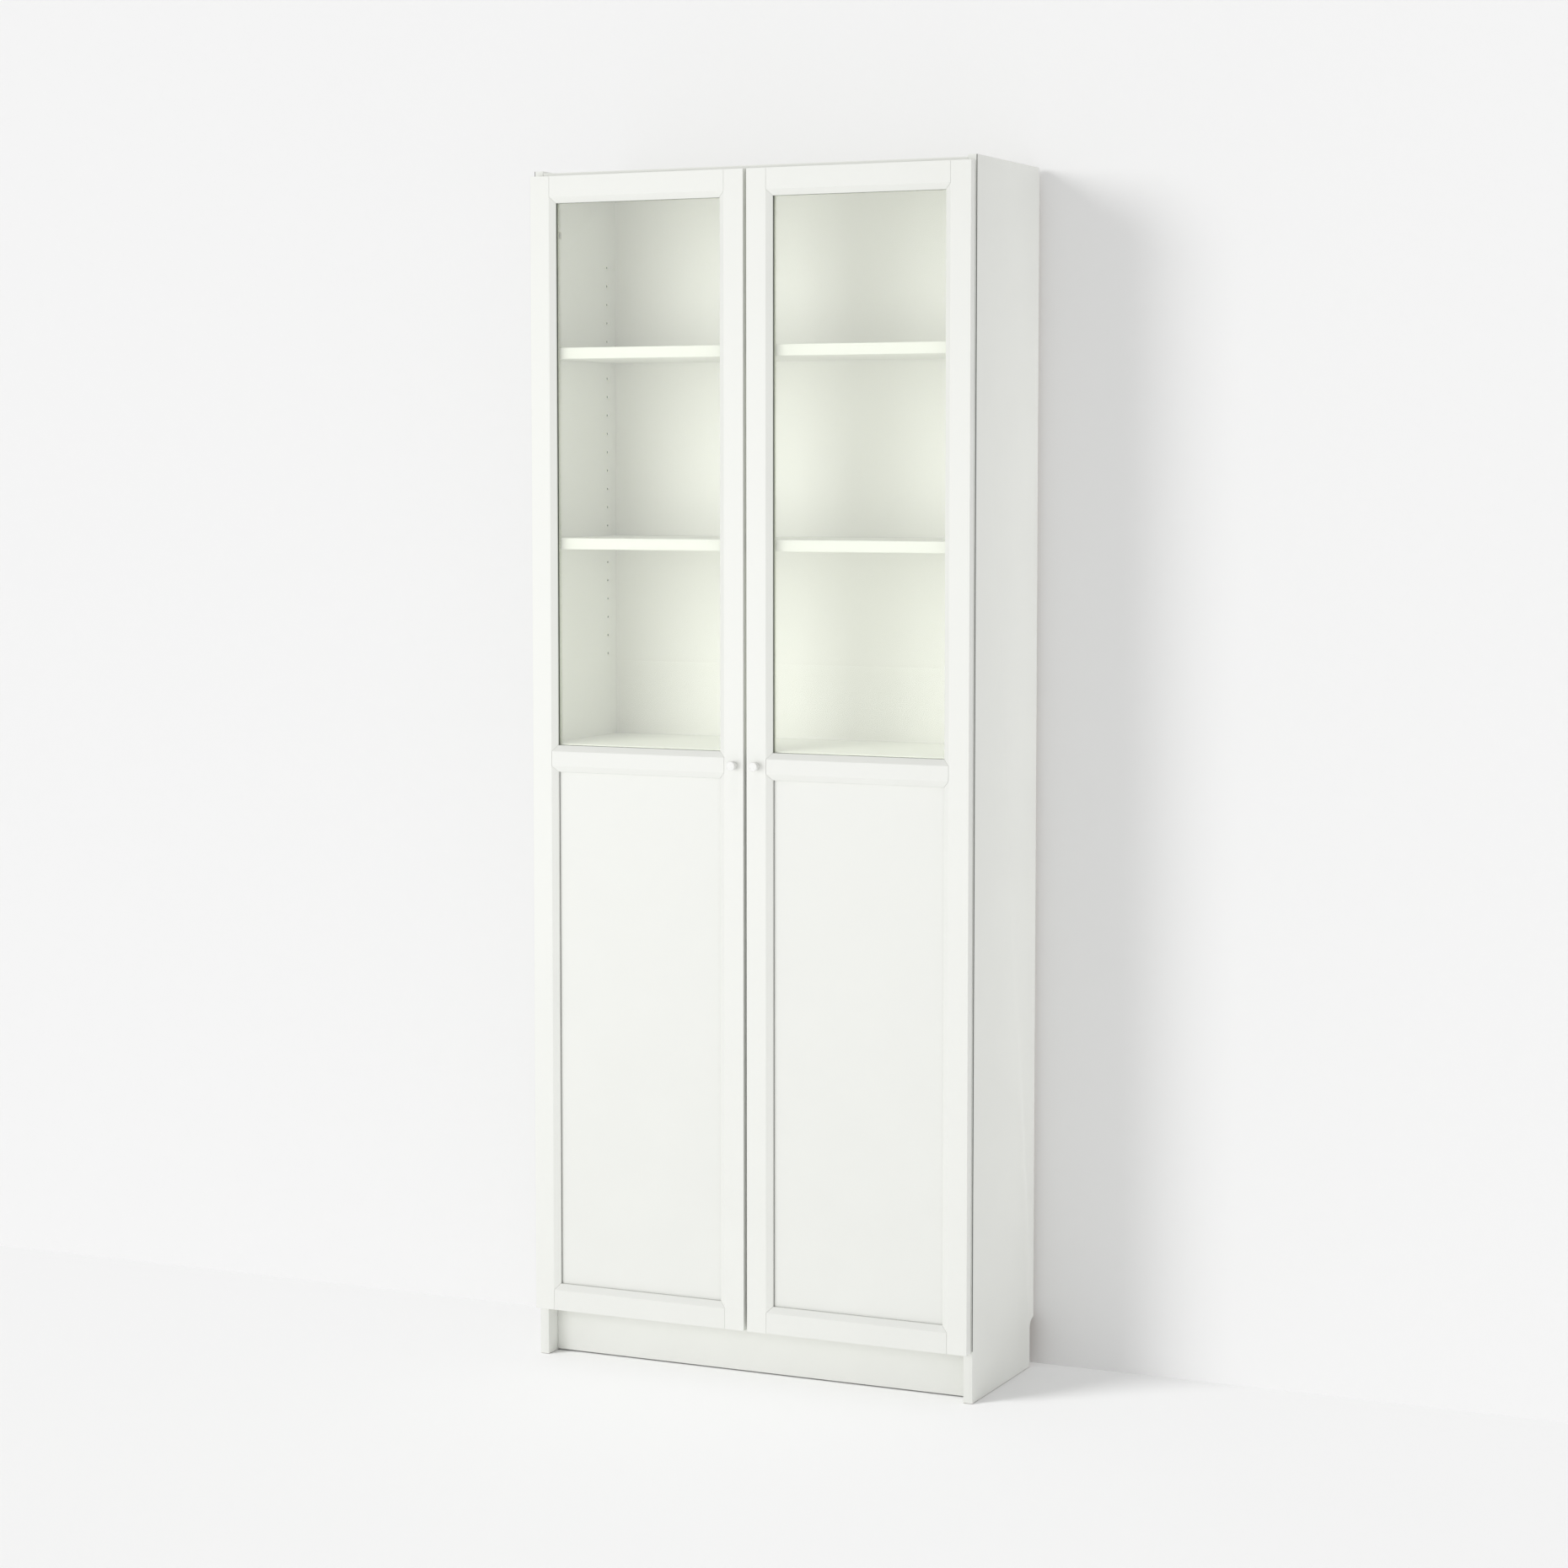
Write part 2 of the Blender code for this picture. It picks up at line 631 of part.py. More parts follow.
def cup_bores(thing, side):
    """Blind bores for the hinge cups in the back of a stile."""
    centres = []
    for height in HINGE_HEIGHTS:
        centres.append((side * (PIVOT_X - CUP_CENTRE), FRONT + DOOR_BACK, height))
    bores = rods_mesh(thing.name + "_bores", CUP_RADIUS, 2 * CUP_BORE_DEPTH, CUP_SEGMENTS, centres, ALONG_Y)
    combine(thing, bores, location=(0, 0, 0))


def knob(name, x, parent):
    """A turned knob with a flat round head, a waist and a wider base."""
    head_foot = KNOB_LENGTH - KNOB_HEAD
    profile = [
        (0, KNOB_LENGTH),
        *arc((KNOB_HEAD_RADIUS - KNOB_ROUNDING, KNOB_LENGTH - KNOB_ROUNDING), KNOB_ROUNDING, 90, 0, 3),
        (KNOB_HEAD_RADIUS, head_foot + KNOB_UNDERCUT),
        (KNOB_HEAD_RADIUS - KNOB_UNDERCUT, head_foot),
        (KNOB_NECK_RADIUS, head_foot - KNOB_ROUNDING),
        (KNOB_NECK_RADIUS, KNOB_BASE),
        (KNOB_BASE_RADIUS, 0),
        (0, 0),
    ]
    location = (x, FRONT + DOOR_FRONT - SEAM, MID_RAIL_HEIGHT)
    turned(name, profile, KNOB_SEGMENTS, FROM_FRONT, location, "knob", parent)


def door(side, side_name, axis):
    """The frame, glass, panel and knob of one door."""
    outer = side * (WIDTH / 2 - DOOR_REVEAL)
    inner = side * DOOR_CENTRE_GAP / 2
    centre = (outer + inner) / 2
    hinge_stile = stile(side_name + "_door_hinge_stile", outer, -side, axis)
    cup_bores(hinge_stile, side)
    stile(side_name + "_door_inner_stile", inner, side, axis)
    rails = {
        "bottom": (frame_section(), DOOR_FOOT, 1, (-DOOR_HEIGHT, FRAME_FLAT)),
        "middle": (mid_rail_section(), MID_RAIL_HEIGHT, 1, (-MID_RAIL_FLAT / 2, MID_RAIL_FLAT / 2)),
        "top": (frame_section(), DOOR_TOP, -1, (-FRAME_FLAT, DOOR_HEIGHT)),
    }
    for where, (section, height, upright, flat_edges) in rails.items():
        rail(f"{side_name}_door_{where}_rail", section, centre, height, upright, flat_edges, axis)
    half = DOOR_WIDTH / 2 - FRAME_WIDTH + INFILL_SEAT
    front = DOOR_FRONT + GROOVE_TOP + SEAM
    rear = front + INFILL_THICKNESS
    mid_half = MID_RAIL_FLAT / 2 + CHAMFER_RUN
    spans = {
        "glass": (MID_RAIL_HEIGHT + mid_half, DOOR_TOP - FRAME_WIDTH, "glass"),
        "panel": (DOOR_FOOT + FRAME_WIDTH, MID_RAIL_HEIGHT - mid_half, "door_panel"),
    }
    for what, (low, high, material) in spans.items():
        board(
            f"{side_name}_door_{what}",
            (centre - half, front, low - INFILL_SEAT),
            (centre + half, rear, high + INFILL_SEAT),
            material,
            axis,
            FRAME_EASE,
        )
    knob(side_name + "_door_knob", inner + side * FRAME_FLAT / 2, axis)


# Cup hinges

def hinge_cup(name, inward):
    """The cup, with lugs for the pin, a window for the arm and a flange with two screw ears."""
    centre = inward * CUP_CENTRE
    bottom = CUP_FLOOR - CUP_WALL
    tall = CUP_RIM - bottom
    far = 2 * CUP_RADIUS  # past the cup on every side
    middle = [(centre, bottom + tall / 2, 0)]
    outside = CUP_RADIUS - SEAM
    cup = place(name, rods_mesh(name, outside, tall, CUP_SEGMENTS, middle, ALONG_Y), material="hinge_steel")
    flange_y = PIVOT_DEPTH + SEAM + CUP_FLANGE / 2
    rim = [(centre, flange_y, 0)]
    flange = rods_mesh(name + "_flange", CUP_FLANGE_RADIUS, CUP_FLANGE, CUP_SEGMENTS, rim, ALONG_Y)
    combine(cup, flange, "UNION")
    ear_x = inward * (CUP_CENTRE + CUP_EAR_OFFSET)
    ears = outline_mesh(
        name + "_ears",
        stadium((ear_x, 0), 2 * (CUP_EAR_REACH + CUP_EAR_RADIUS), 2 * CUP_EAR_RADIUS),
        CUP_FLANGE,
    )
    combine(cup, ears, "UNION", turn=FROM_FRONT).location = (0, flange_y, 0)
    hollow = [(centre, CUP_FLOOR + tall / 2, 0)]
    cavity_mesh = rods_mesh(name + "_cavity", outside - CUP_WALL, tall, CUP_SEGMENTS, hollow, ALONG_Y)
    cavity = place(name + "_cavity", cavity_mesh, group=CUTTERS)
    cavity.hide_render = True
    cavity.display_type = "WIRE"
    for sign in (-1, 1):
        ends = sorted((sign * WINDOW, sign * (WINDOW + LUG_THICKNESS)))
        across = sorted((inward * (KNUCKLE_RADIUS + SEAM), -inward * far))
        box_cutter(cavity, (across[0], -far, ends[0]), (across[1], KNUCKLE_RADIUS, ends[1]))
    combine(cup, settled(cavity))
    across = sorted((0, -inward * far))
    box_cutter(cup, (across[0], CUP_FLOOR, -WINDOW), (across[1], far, WINDOW))
    clip = sorted((-inward * (PIVOT_INSET / 2 - SWING_CLEARANCE), -inward * far))
    box_cutter(cup, (clip[0], PIVOT_DEPTH, -far), (clip[1], far, far))
    bore_length = HINGE_PIN_LENGTH + 2 * SEAM
    bore = rods_mesh(name + "_bore", HINGE_BORE_RADIUS, bore_length, SMALL_SEGMENTS, [(0, 0, 0)], ALONG_Z)
    combine(cup, bore)
    spots = [(ear_x, flange_y, sign * CUP_EAR_REACH) for sign in (-1, 1)]
    screws = rods_mesh(name + "_screws", CUP_SCREW_RADIUS, 2 * OVERRUN, HOLE_SEGMENTS, spots, ALONG_Y)
    combine(cup, screws)
    return cup


def hinge_arm(name, inward):
    """The gooseneck arm: a knuckle on the pin, a neck out of the cup and a channel over the plate."""
    path = [(0, 0), (NECK_X, 0), (NECK_X, SLOPE_START), (WEB_X, SLOPE_END), (WEB_X, ARM_END)]
    strip = ribbon(rounded_path(path, ARM_BEND), ARM_THICKNESS)
    arm = place(name, outline_mesh(name, flipped(strip, inward), KNUCKLE_LENGTH), material="hinge_steel")
    half = ARM_THICKNESS / 2
    cheek = [
        (NECK_X - half, SLOPE_START),
        (WEB_X + half, SLOPE_END),
        (WEB_X + half, ARM_END),
        (WING_TOP + SEAM, ARM_END),
        (WING_TOP + SEAM, SLOPE_END),
    ]
    for sign in (-1, 1):
        tool = combine(arm, outline_mesh(name + "_cheek", flipped(cheek, inward), ARM_FLANGE), "UNION")
        tool.location = (0, 0, sign * (FLANGE_INSIDE + ARM_FLANGE / 2))
    pivot = [(0, 0, 0)]
    knuckle = rods_mesh(name + "_knuckle", KNUCKLE_RADIUS, KNUCKLE_LENGTH, SMALL_SEGMENTS, pivot, ALONG_Z)
    combine(arm, knuckle, "UNION")
    bore_length = KNUCKLE_LENGTH + 2 * OVERRUN
    combine(arm, rods_mesh(name + "_bore", HINGE_BORE_RADIUS, bore_length, SMALL_SEGMENTS, pivot, ALONG_Z))
    spots = [(inward * WEB_X, back, 0) for back in (ARM_END - SLOT_INSET, SLOPE_END + SLOT_INSET)]
    combine(arm, rods_mesh(name + "_slots", SLOT_RADIUS, 2 * OVERRUN, HOLE_SEGMENTS, spots, ALONG_X))
    return arm


def hinge_plate(name, inward):
    """The mounting plate: a wing with two screw holes and a ridge under the arm."""
    wing_middle = inward * (WING_TOP - PLATE_WING / 2)
    wing = outline_mesh(name, stadium((PLATE_LINE, 0), PLATE_LENGTH, PLATE_WIDTH), PLATE_WING)
    plate = place(name, wing, (wing_middle, 0, 0), FROM_SIDE, "hinge_steel")
    ridge_top = WEB_X - ARM_THICKNESS / 2 - SEAM
    low = (PANEL_FACE + SEAM, SLOPE_END + RIDGE_LEAD, -(FLANGE_INSIDE - SEAM))
    high = (ridge_top, ARM_END - SEAM, FLANGE_INSIDE - SEAM)
    size = [b - a for a, b in zip(low, high)]
    middle = [(a + b) / 2 for a, b in zip(low, high)]
    middle[0] *= inward
    combine(plate, cube_mesh(name + "_ridge", size), "UNION", location=middle)
    screws = [(wing_middle, PLATE_LINE, sign * PLATE_SCREW_SPACING / 2) for sign in (-1, 1)]
    holes = rods_mesh(name + "_screws", PLATE_HOLE_RADIUS, 2 * OVERRUN, HOLE_SEGMENTS, screws, ALONG_X)
    combine(plate, holes, location=(0, 0, 0))
    return plate


def hinge_pin(name):
    return place(
        name,
        rods_mesh(name, HINGE_PIN_RADIUS, HINGE_PIN_LENGTH, SMALL_SEGMENTS, [(0, 0, 0)], ALONG_Z),
        material="pin_steel",
    )


def hinge_set(side, side_name, axis):
    """Three hinges on one door. The cups and pins turn with it, and the arms and plates stay still."""
    pieces = {
        "cup": (hinge_cup(side_name + "_cup_pattern", -side), "hinge_steel", True),
        "pin": (hinge_pin(side_name + "_pin_pattern"), "pin_steel", True),
        "arm": (hinge_arm(side_name + "_arm_pattern", -side), "hinge_steel", False),
        "plate": (hinge_plate(side_name + "_plate_pattern", -side), "hinge_steel", False),
    }
    bpy.context.view_layer.update()
    for what, (pattern, material, moves) in pieces.items():
        mesh = settled(pattern)
        mesh.transform(pattern.matrix_world)
        for number, height in enumerate(HINGE_HEIGHTS, 1):
            location = (side * PIVOT_X, FRONT + PIVOT_Y, height)
            name = f"{side_name}_hinge_{what}_{number}"
            copy = place(name, mesh, location, None, material, axis if moves else None)
            smooth(copy)
        put_away(pattern)


def put_away(pattern):
    """A pattern piece joins the cutters once its copies are made."""
    PARTS.objects.unlink(pattern)
    CUTTERS.objects.link(pattern)
    pattern.hide_render = True
    pattern.display_type = "WIRE"


def door_axis(side, side_name):
    """An empty on the hinge axis, which carries everything that turns with the door."""
    axis = bpy.data.objects.new(side_name + "_door_axis", None)
    PARTS.objects.link(axis)
    axis.location = (side * PIVOT_X, FRONT + PIVOT_Y, 0)
    return axis


def build():
    side_panel("left_side_panel", -1)
    side_panel("right_side_panel", 1)
    top_panel()
    fixed_boards()
    back_panel()
    for number, height in enumerate(shelf_heights(*UPPER_SPACE), 1):
        upper_shelf(number, height)
    for number, height in enumerate(shelf_heights(*LOWER_SPACE), 1):
        lower_shelf(number, height)
    for side, side_name in ((-1, "left"), (1, "right")):
        axis = door_axis(side, side_name)
        door(side, side_name, axis)
        hinge_set(side, side_name, axis)


build()
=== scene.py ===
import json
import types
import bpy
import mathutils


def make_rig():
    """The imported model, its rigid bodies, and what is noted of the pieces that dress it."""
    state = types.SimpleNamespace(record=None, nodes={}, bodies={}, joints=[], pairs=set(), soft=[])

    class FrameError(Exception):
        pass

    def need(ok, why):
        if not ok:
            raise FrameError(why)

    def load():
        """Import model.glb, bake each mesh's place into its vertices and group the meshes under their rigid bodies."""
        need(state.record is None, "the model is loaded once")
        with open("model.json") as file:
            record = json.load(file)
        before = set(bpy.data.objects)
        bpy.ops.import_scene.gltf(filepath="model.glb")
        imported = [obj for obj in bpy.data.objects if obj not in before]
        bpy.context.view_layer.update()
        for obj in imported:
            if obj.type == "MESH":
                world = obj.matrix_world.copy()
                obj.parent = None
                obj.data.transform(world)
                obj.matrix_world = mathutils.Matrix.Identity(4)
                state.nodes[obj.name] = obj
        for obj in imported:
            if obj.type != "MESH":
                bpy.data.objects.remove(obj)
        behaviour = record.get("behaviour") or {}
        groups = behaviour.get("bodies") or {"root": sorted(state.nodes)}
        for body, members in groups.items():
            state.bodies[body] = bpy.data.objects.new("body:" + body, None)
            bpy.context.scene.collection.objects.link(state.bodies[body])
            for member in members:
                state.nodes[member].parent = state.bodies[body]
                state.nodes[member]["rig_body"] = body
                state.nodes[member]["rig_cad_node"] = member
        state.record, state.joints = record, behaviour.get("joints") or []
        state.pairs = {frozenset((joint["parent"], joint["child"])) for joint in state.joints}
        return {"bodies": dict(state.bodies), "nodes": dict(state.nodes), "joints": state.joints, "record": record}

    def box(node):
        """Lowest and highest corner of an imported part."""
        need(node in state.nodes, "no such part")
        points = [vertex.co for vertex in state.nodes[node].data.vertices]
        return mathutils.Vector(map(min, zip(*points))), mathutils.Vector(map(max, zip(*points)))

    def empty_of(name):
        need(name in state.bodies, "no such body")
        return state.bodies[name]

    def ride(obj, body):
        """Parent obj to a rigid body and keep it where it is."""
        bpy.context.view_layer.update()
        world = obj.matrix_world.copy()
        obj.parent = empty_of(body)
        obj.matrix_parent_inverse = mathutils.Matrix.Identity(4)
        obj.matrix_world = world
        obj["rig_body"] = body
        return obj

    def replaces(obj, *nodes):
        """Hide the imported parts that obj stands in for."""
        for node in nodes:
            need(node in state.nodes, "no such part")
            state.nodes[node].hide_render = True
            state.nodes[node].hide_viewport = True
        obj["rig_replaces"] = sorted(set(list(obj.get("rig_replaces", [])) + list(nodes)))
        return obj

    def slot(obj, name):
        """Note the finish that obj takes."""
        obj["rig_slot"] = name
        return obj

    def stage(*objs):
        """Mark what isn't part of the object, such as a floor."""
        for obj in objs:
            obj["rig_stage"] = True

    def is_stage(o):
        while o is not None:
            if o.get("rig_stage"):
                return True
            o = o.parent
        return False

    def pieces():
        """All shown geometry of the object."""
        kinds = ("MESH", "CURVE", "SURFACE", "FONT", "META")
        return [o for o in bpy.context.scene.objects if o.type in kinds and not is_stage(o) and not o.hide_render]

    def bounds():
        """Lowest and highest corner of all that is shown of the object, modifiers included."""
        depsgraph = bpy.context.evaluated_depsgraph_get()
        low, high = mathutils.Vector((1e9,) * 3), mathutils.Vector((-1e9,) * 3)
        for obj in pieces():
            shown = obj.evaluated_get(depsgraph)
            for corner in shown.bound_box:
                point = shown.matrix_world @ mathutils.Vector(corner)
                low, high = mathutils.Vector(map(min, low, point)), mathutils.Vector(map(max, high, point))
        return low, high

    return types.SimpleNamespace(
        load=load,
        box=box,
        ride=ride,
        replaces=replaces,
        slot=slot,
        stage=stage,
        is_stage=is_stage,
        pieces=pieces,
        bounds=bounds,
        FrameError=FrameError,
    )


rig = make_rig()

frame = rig.load()

import json
import math

import bmesh
import bpy
from mathutils import Matrix, Vector

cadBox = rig.bounds()
print("frame loaded:", len(frame["nodes"]), "nodes")


# Shader maths: a wire is an output socket, and arithmetic on it adds Math nodes

class Wire:
    def __init__(self, finish, socket):
        self.finish = finish
        self.socket = socket

    def maths(self, operation, *values):
        return self.finish.node("ShaderNodeMath", {"operation": operation}, dict(enumerate(values)))

    def __add__(self, other):
        return self.maths("ADD", self, other)

    def __radd__(self, other):
        return self.maths("ADD", other, self)

    def __sub__(self, other):
        return self.maths("SUBTRACT", self, other)

    def __rsub__(self, other):
        return self.maths("SUBTRACT", other, self)

    def __mul__(self, other):
        return self.maths("MULTIPLY", self, other)

    def __rmul__(self, other):
        return self.maths("MULTIPLY", other, self)

    def __truediv__(self, other):
        return self.maths("DIVIDE", self, other)

    def __rtruediv__(self, other):
        return self.maths("DIVIDE", other, self)

    def __abs__(self):
        return self.maths("ABSOLUTE", self)

    def __round__(self):
        return self.maths("ROUND", self)

    def root(self):
        return self.maths("SQRT", self)

    def least(self, other):
        return self.maths("MINIMUM", self, other)

    def most(self, other):
        return self.maths("MAXIMUM", self, other)


class Finish:  # one material or world, built node by node
    def __init__(self, name, holder=None):
        self.holder = holder or bpy.data.materials.new(name)
        self.holder.use_nodes = True
        self.tree = self.holder.node_tree
        self.tree.nodes.clear()

    def node(self, kind, settings=None, sockets=None, output=0):
        made = self.tree.nodes.new(kind)
        for key, value in (settings or {}).items():
            setattr(made, key, value)
        for key, value in (sockets or {}).items():
            socket = made.inputs[key]
            if isinstance(value, Wire):
                self.tree.links.new(value.socket, socket)
            elif socket.type == "RGBA":
                socket.default_value = (*value, 1)
            else:
                socket.default_value = value
        return Wire(self, made.outputs[output])

    def place(self):  # coordinates in metres, in the piece's own axes
        return self.node("ShaderNodeTexCoord", output="Object")

    def along(self, place):
        split = self.node("ShaderNodeSeparateXYZ", {}, {"Vector": place})
        outputs = split.socket.node.outputs
        return [Wire(self, outputs[axis]) for axis in "XYZ"]

    def noise(self, place, scale, detail=2.0):
        return self.node("ShaderNodeTexNoise", {}, {"Vector": place, "Scale": scale, "Detail": detail})

    def stretched(self, place, factors):
        return self.node("ShaderNodeVectorMath", {"operation": "MULTIPLY"}, {0: place, 1: factors})

    def times(self, colour, factor):
        return self.node("ShaderNodeVectorMath", {"operation": "SCALE"}, {0: colour, 3: factor})

    def fade(self, wire, start, end, low=0.0, high=1.0):  # smooth step
        sockets = {"Value": wire, "From Min": start, "From Max": end, "To Min": low, "To Max": high}
        return self.node("ShaderNodeMapRange", {"interpolation_type": "SMOOTHSTEP"}, sockets)

    def blend(self, factor, first, second):  # between two colours, which are inputs 6 and 7 of a Mix node
        sockets = {0: factor, 6: first, 7: second}
        return self.node("ShaderNodeMix", {"data_type": "RGBA"}, sockets, 2)

    def bump(self, height, strength, distance):
        sockets = {"Height": height, "Strength": strength, "Distance": distance}
        return self.node("ShaderNodeBump", {}, sockets)

    def principled(self, **sockets):
        named = {key.replace("_", " "): value for key, value in sockets.items()}
        return self.node("ShaderNodeBsdfPrincipled", {}, named)

    def out(self, surface, kind="ShaderNodeOutputMaterial"):
        target = self.tree.nodes.new(kind)
        self.tree.links.new(surface.socket, target.inputs["Surface"])
        return self.holder


def scaled(colour, factor):
    return tuple(channel * factor for channel in colour)


# Camera

shot = {
    "lens": 80.39,  # mm on a 36 mm sensor
    "place": (2.46965, -5.34789, 1.51653),
    "turn": 24.74,  # degrees to the left of straight at the front
    "tilt": -4.33,  # degrees below level
    "shiftY": -0.03,
}


def makeCamera():
    data = bpy.data.cameras.new("camera")
    data.lens = shot["lens"]
    data.sensor_width = 36
    data.shift_y = shot["shiftY"]
    data.clip_end = 100
    camera = bpy.data.objects.new("camera", data)
    camera.location = shot["place"]
    camera.rotation_euler = (math.radians(90 + shot["tilt"]), 0, math.radians(shot["turn"]))
    bpy.context.scene.collection.objects.link(camera)
    bpy.context.scene.camera = camera


# Light, floor and wall

studio = {
    "backdrop": 0.922,  # how pale the sky looks to the camera
    "ambient": 0.62,  # what the sky gives as light
    "floorPaint": 0.8575,
    "wallPaint": 0.836,
    "grain": 0.997,  # the darkest of the paper, as a share
    "wallGap": 0.015,  # from the cabinet's rear edges to the wall
    "reach": 20.0,
    "wallHeight": 12.0,
}
knobFront = (0, -0.157)  # (x, y) where the lamps in front are aimed
bigBox = {"side": 25, "distance": 4.2, "height": 0.85, "size": (2.7, 3.0), "at": knobFront}
areaLamps = {  # degrees to the left of the front, metres from "at" and from the floor, size and watts
    "softbox": {**bigBox, "power": 62.0},
    "shelfKey": {**bigBox, "power": 46.0},
    "insideKey": {
        "side": 20,
        "distance": 2.8,
        "height": 2.05,
        "size": (1.65, 3.0),
        "power": 36.0,
        "at": knobFront,
        "colour": (1.01, 1.00, 1.08),
    },
    "sideFill": {
        "side": -90,
        "distance": 0.25,
        "height": 0.7,
        "size": (0.2, 2.6),
        "power": 0.8,
        "at": (0.4, 0.2),
    },
}
suns = {  # degrees to the left of the front, degrees above level, degrees across, strength
    "wallKey": {"side": 37, "rise": 12, "spread": 23, "strength": 1.085},
    "floorKey": {"side": 40, "rise": 38, "spread": 20, "strength": 1.68},
    "stageFill": {"side": 20, "rise": 45, "spread": 150, "strength": 0.44},
    "shelfFill": {"side": 17, "rise": 35, "spread": 40, "strength": 1.00},
    "topFill": {"side": 25, "rise": 86, "spread": 30, "strength": 0.90},
}


def seenDirectly(finish):  # 1 for rays from the camera, and for what metal and glass show
    kinds = ("Is Camera Ray", "Is Glossy Ray", "Is Transmission Ray")
    camera, glossy, passing = (finish.node("ShaderNodeLightPath", output=kind) for kind in kinds)
    return camera.most(glossy).most(passing)


def makeWorld():
    world = bpy.data.worlds.new("studio")
    bpy.context.scene.world = world
    finish = Finish("studio", world)
    pale = scaled((1, 1, 1), studio["backdrop"])
    sky = finish.node("ShaderNodeBackground", {}, {"Color": pale, "Strength": 1.0})
    ambient = finish.node("ShaderNodeBackground", {}, {"Color": (1, 1, 1), "Strength": studio["ambient"]})
    mixed = finish.node("ShaderNodeMixShader", {}, {0: seenDirectly(finish), 1: ambient, 2: sky})
    finish.out(mixed, "ShaderNodeOutputWorld")


def makeLamp(name, kind, travel, place=(0, 0, 0)):
    data = bpy.data.lights.new(name, kind)
    lamp = bpy.data.objects.new(name, data)
    lamp.location = place
    lamp.rotation_euler = travel.to_track_quat("-Z", "Y").to_euler()
    lamp.visible_camera = False
    bpy.context.scene.collection.objects.link(lamp)
    return lamp, data


def heading(side, rise):  # the way light goes that comes from this side and height
    side, rise = math.radians(side), math.radians(rise)
    return Vector((math.sin(side) * math.cos(rise), math.cos(side) * math.cos(rise), -math.sin(rise)))


def makeSun(name):
    look = suns[name]
    lamp, data = makeLamp(name, "SUN", heading(look["side"], look["rise"]))
    data.energy = look["strength"]
    data.angle = math.radians(look["spread"])
    return lamp


def makeBox(name):
    look = areaLamps[name]
    travel = heading(look["side"], 0)
    place = Vector((*look["at"], look["height"])) - travel * look["distance"]
    lamp, data = makeLamp(name, "AREA", travel, place)
    data.shape = "RECTANGLE"
    data.size, data.size_y = look["size"]
    data.energy = look["power"]
    data.color = look.get("colour", (1, 1, 1))
    return lamp


def aimAt(lamp, things, state="INCLUDE"):  # which things the lamp lights, or leaves alone
    group = bpy.data.collections.new(lamp.name)
    for thing in things:
        group.objects.link(thing)
    for member in group.collection_objects:
        member.light_linking.link_state = state
    lamp.light_linking.receiver_collection = group


def flatSheet(name, corners):
    mesh = bpy.data.meshes.new(name)
    mesh.from_pydata(corners, [], [range(len(corners))])
    sheet = bpy.data.objects.new(name, mesh)
    bpy.context.scene.collection.objects.link(sheet)
    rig.stage(sheet)
    return sheet


def paperFinish(name, paint):  # matt paper
    finish = Finish(name)
    grain = finish.noise(finish.place(), 3.0)
    colour = finish.blend(grain, scaled((1, 1, 1), paint * studio["grain"]), scaled((1, 1, 1), paint))
    return finish, finish.node("ShaderNodeBsdfDiffuse", {}, {"Color": colour})


def makeStage():
    reach, high = studio["reach"], studio["wallHeight"]
    behind = cadBox[1][1] + studio["wallGap"]
    ground = [(-reach, -reach, 0), (reach, -reach, 0), (reach, reach, 0), (-reach, reach, 0)]
    screen = [(-reach, behind, 0), (reach, behind, 0), (reach, behind, high), (-reach, behind, high)]
    floor, wall = flatSheet("floor", ground), flatSheet("wall", screen)
    finish, surface = paperFinish("floorPaper", studio["floorPaint"])
    floor.data.materials.append(finish.out(surface))
    finish, surface = paperFinish("wallPaper", studio["wallPaint"])
    clear = finish.node("ShaderNodeBsdfTransparent")
    rear = finish.node("ShaderNodeNewGeometry", output="Backfacing")
    shown = seenDirectly(finish) * (1 - rear)  # other rays, and views from behind, go through the wall
    surface = finish.node("ShaderNodeMixShader", {}, {0: shown, 1: clear, 2: surface})
    wall.data.materials.append(finish.out(surface))
    return floor, wall


def makeLight():
    nodes = frame["nodes"]
    floor, wall = makeStage()
    back = nodes["back_panel"]
    shelves = [nodes[node] for node in ("upper_shelf_1", "upper_shelf_2")]
    sides = {side: bpy.data.objects[f"{side}_side"] for side in inward}
    topParts = ("hinge_stile", "top_rail", "inner_stile")
    doorTops = [nodes[f"{side}_door_{part}"] for side in inward for part in topParts]
    aimAt(makeBox("softbox"), [floor, wall, back, *shelves], "EXCLUDE")
    aimAt(makeBox("shelfKey"), shelves)
    aimAt(makeBox("sideFill"), [sides["right"], nodes["right_door_hinge_stile"]])
    aimAt(makeSun("wallKey"), [wall])
    aimAt(makeSun("floorKey"), [floor])
    aimAt(makeSun("stageFill"), [floor, wall])
    aimAt(makeBox("insideKey"), [back])
    aimAt(makeSun("shelfFill"), [nodes["fixed_shelf"]])
    aimAt(makeSun("topFill"), [nodes["top_panel"], *sides.values(), *doorTops])


makeCamera()
makeWorld()
print("camera and backdrop made")


# Finishes

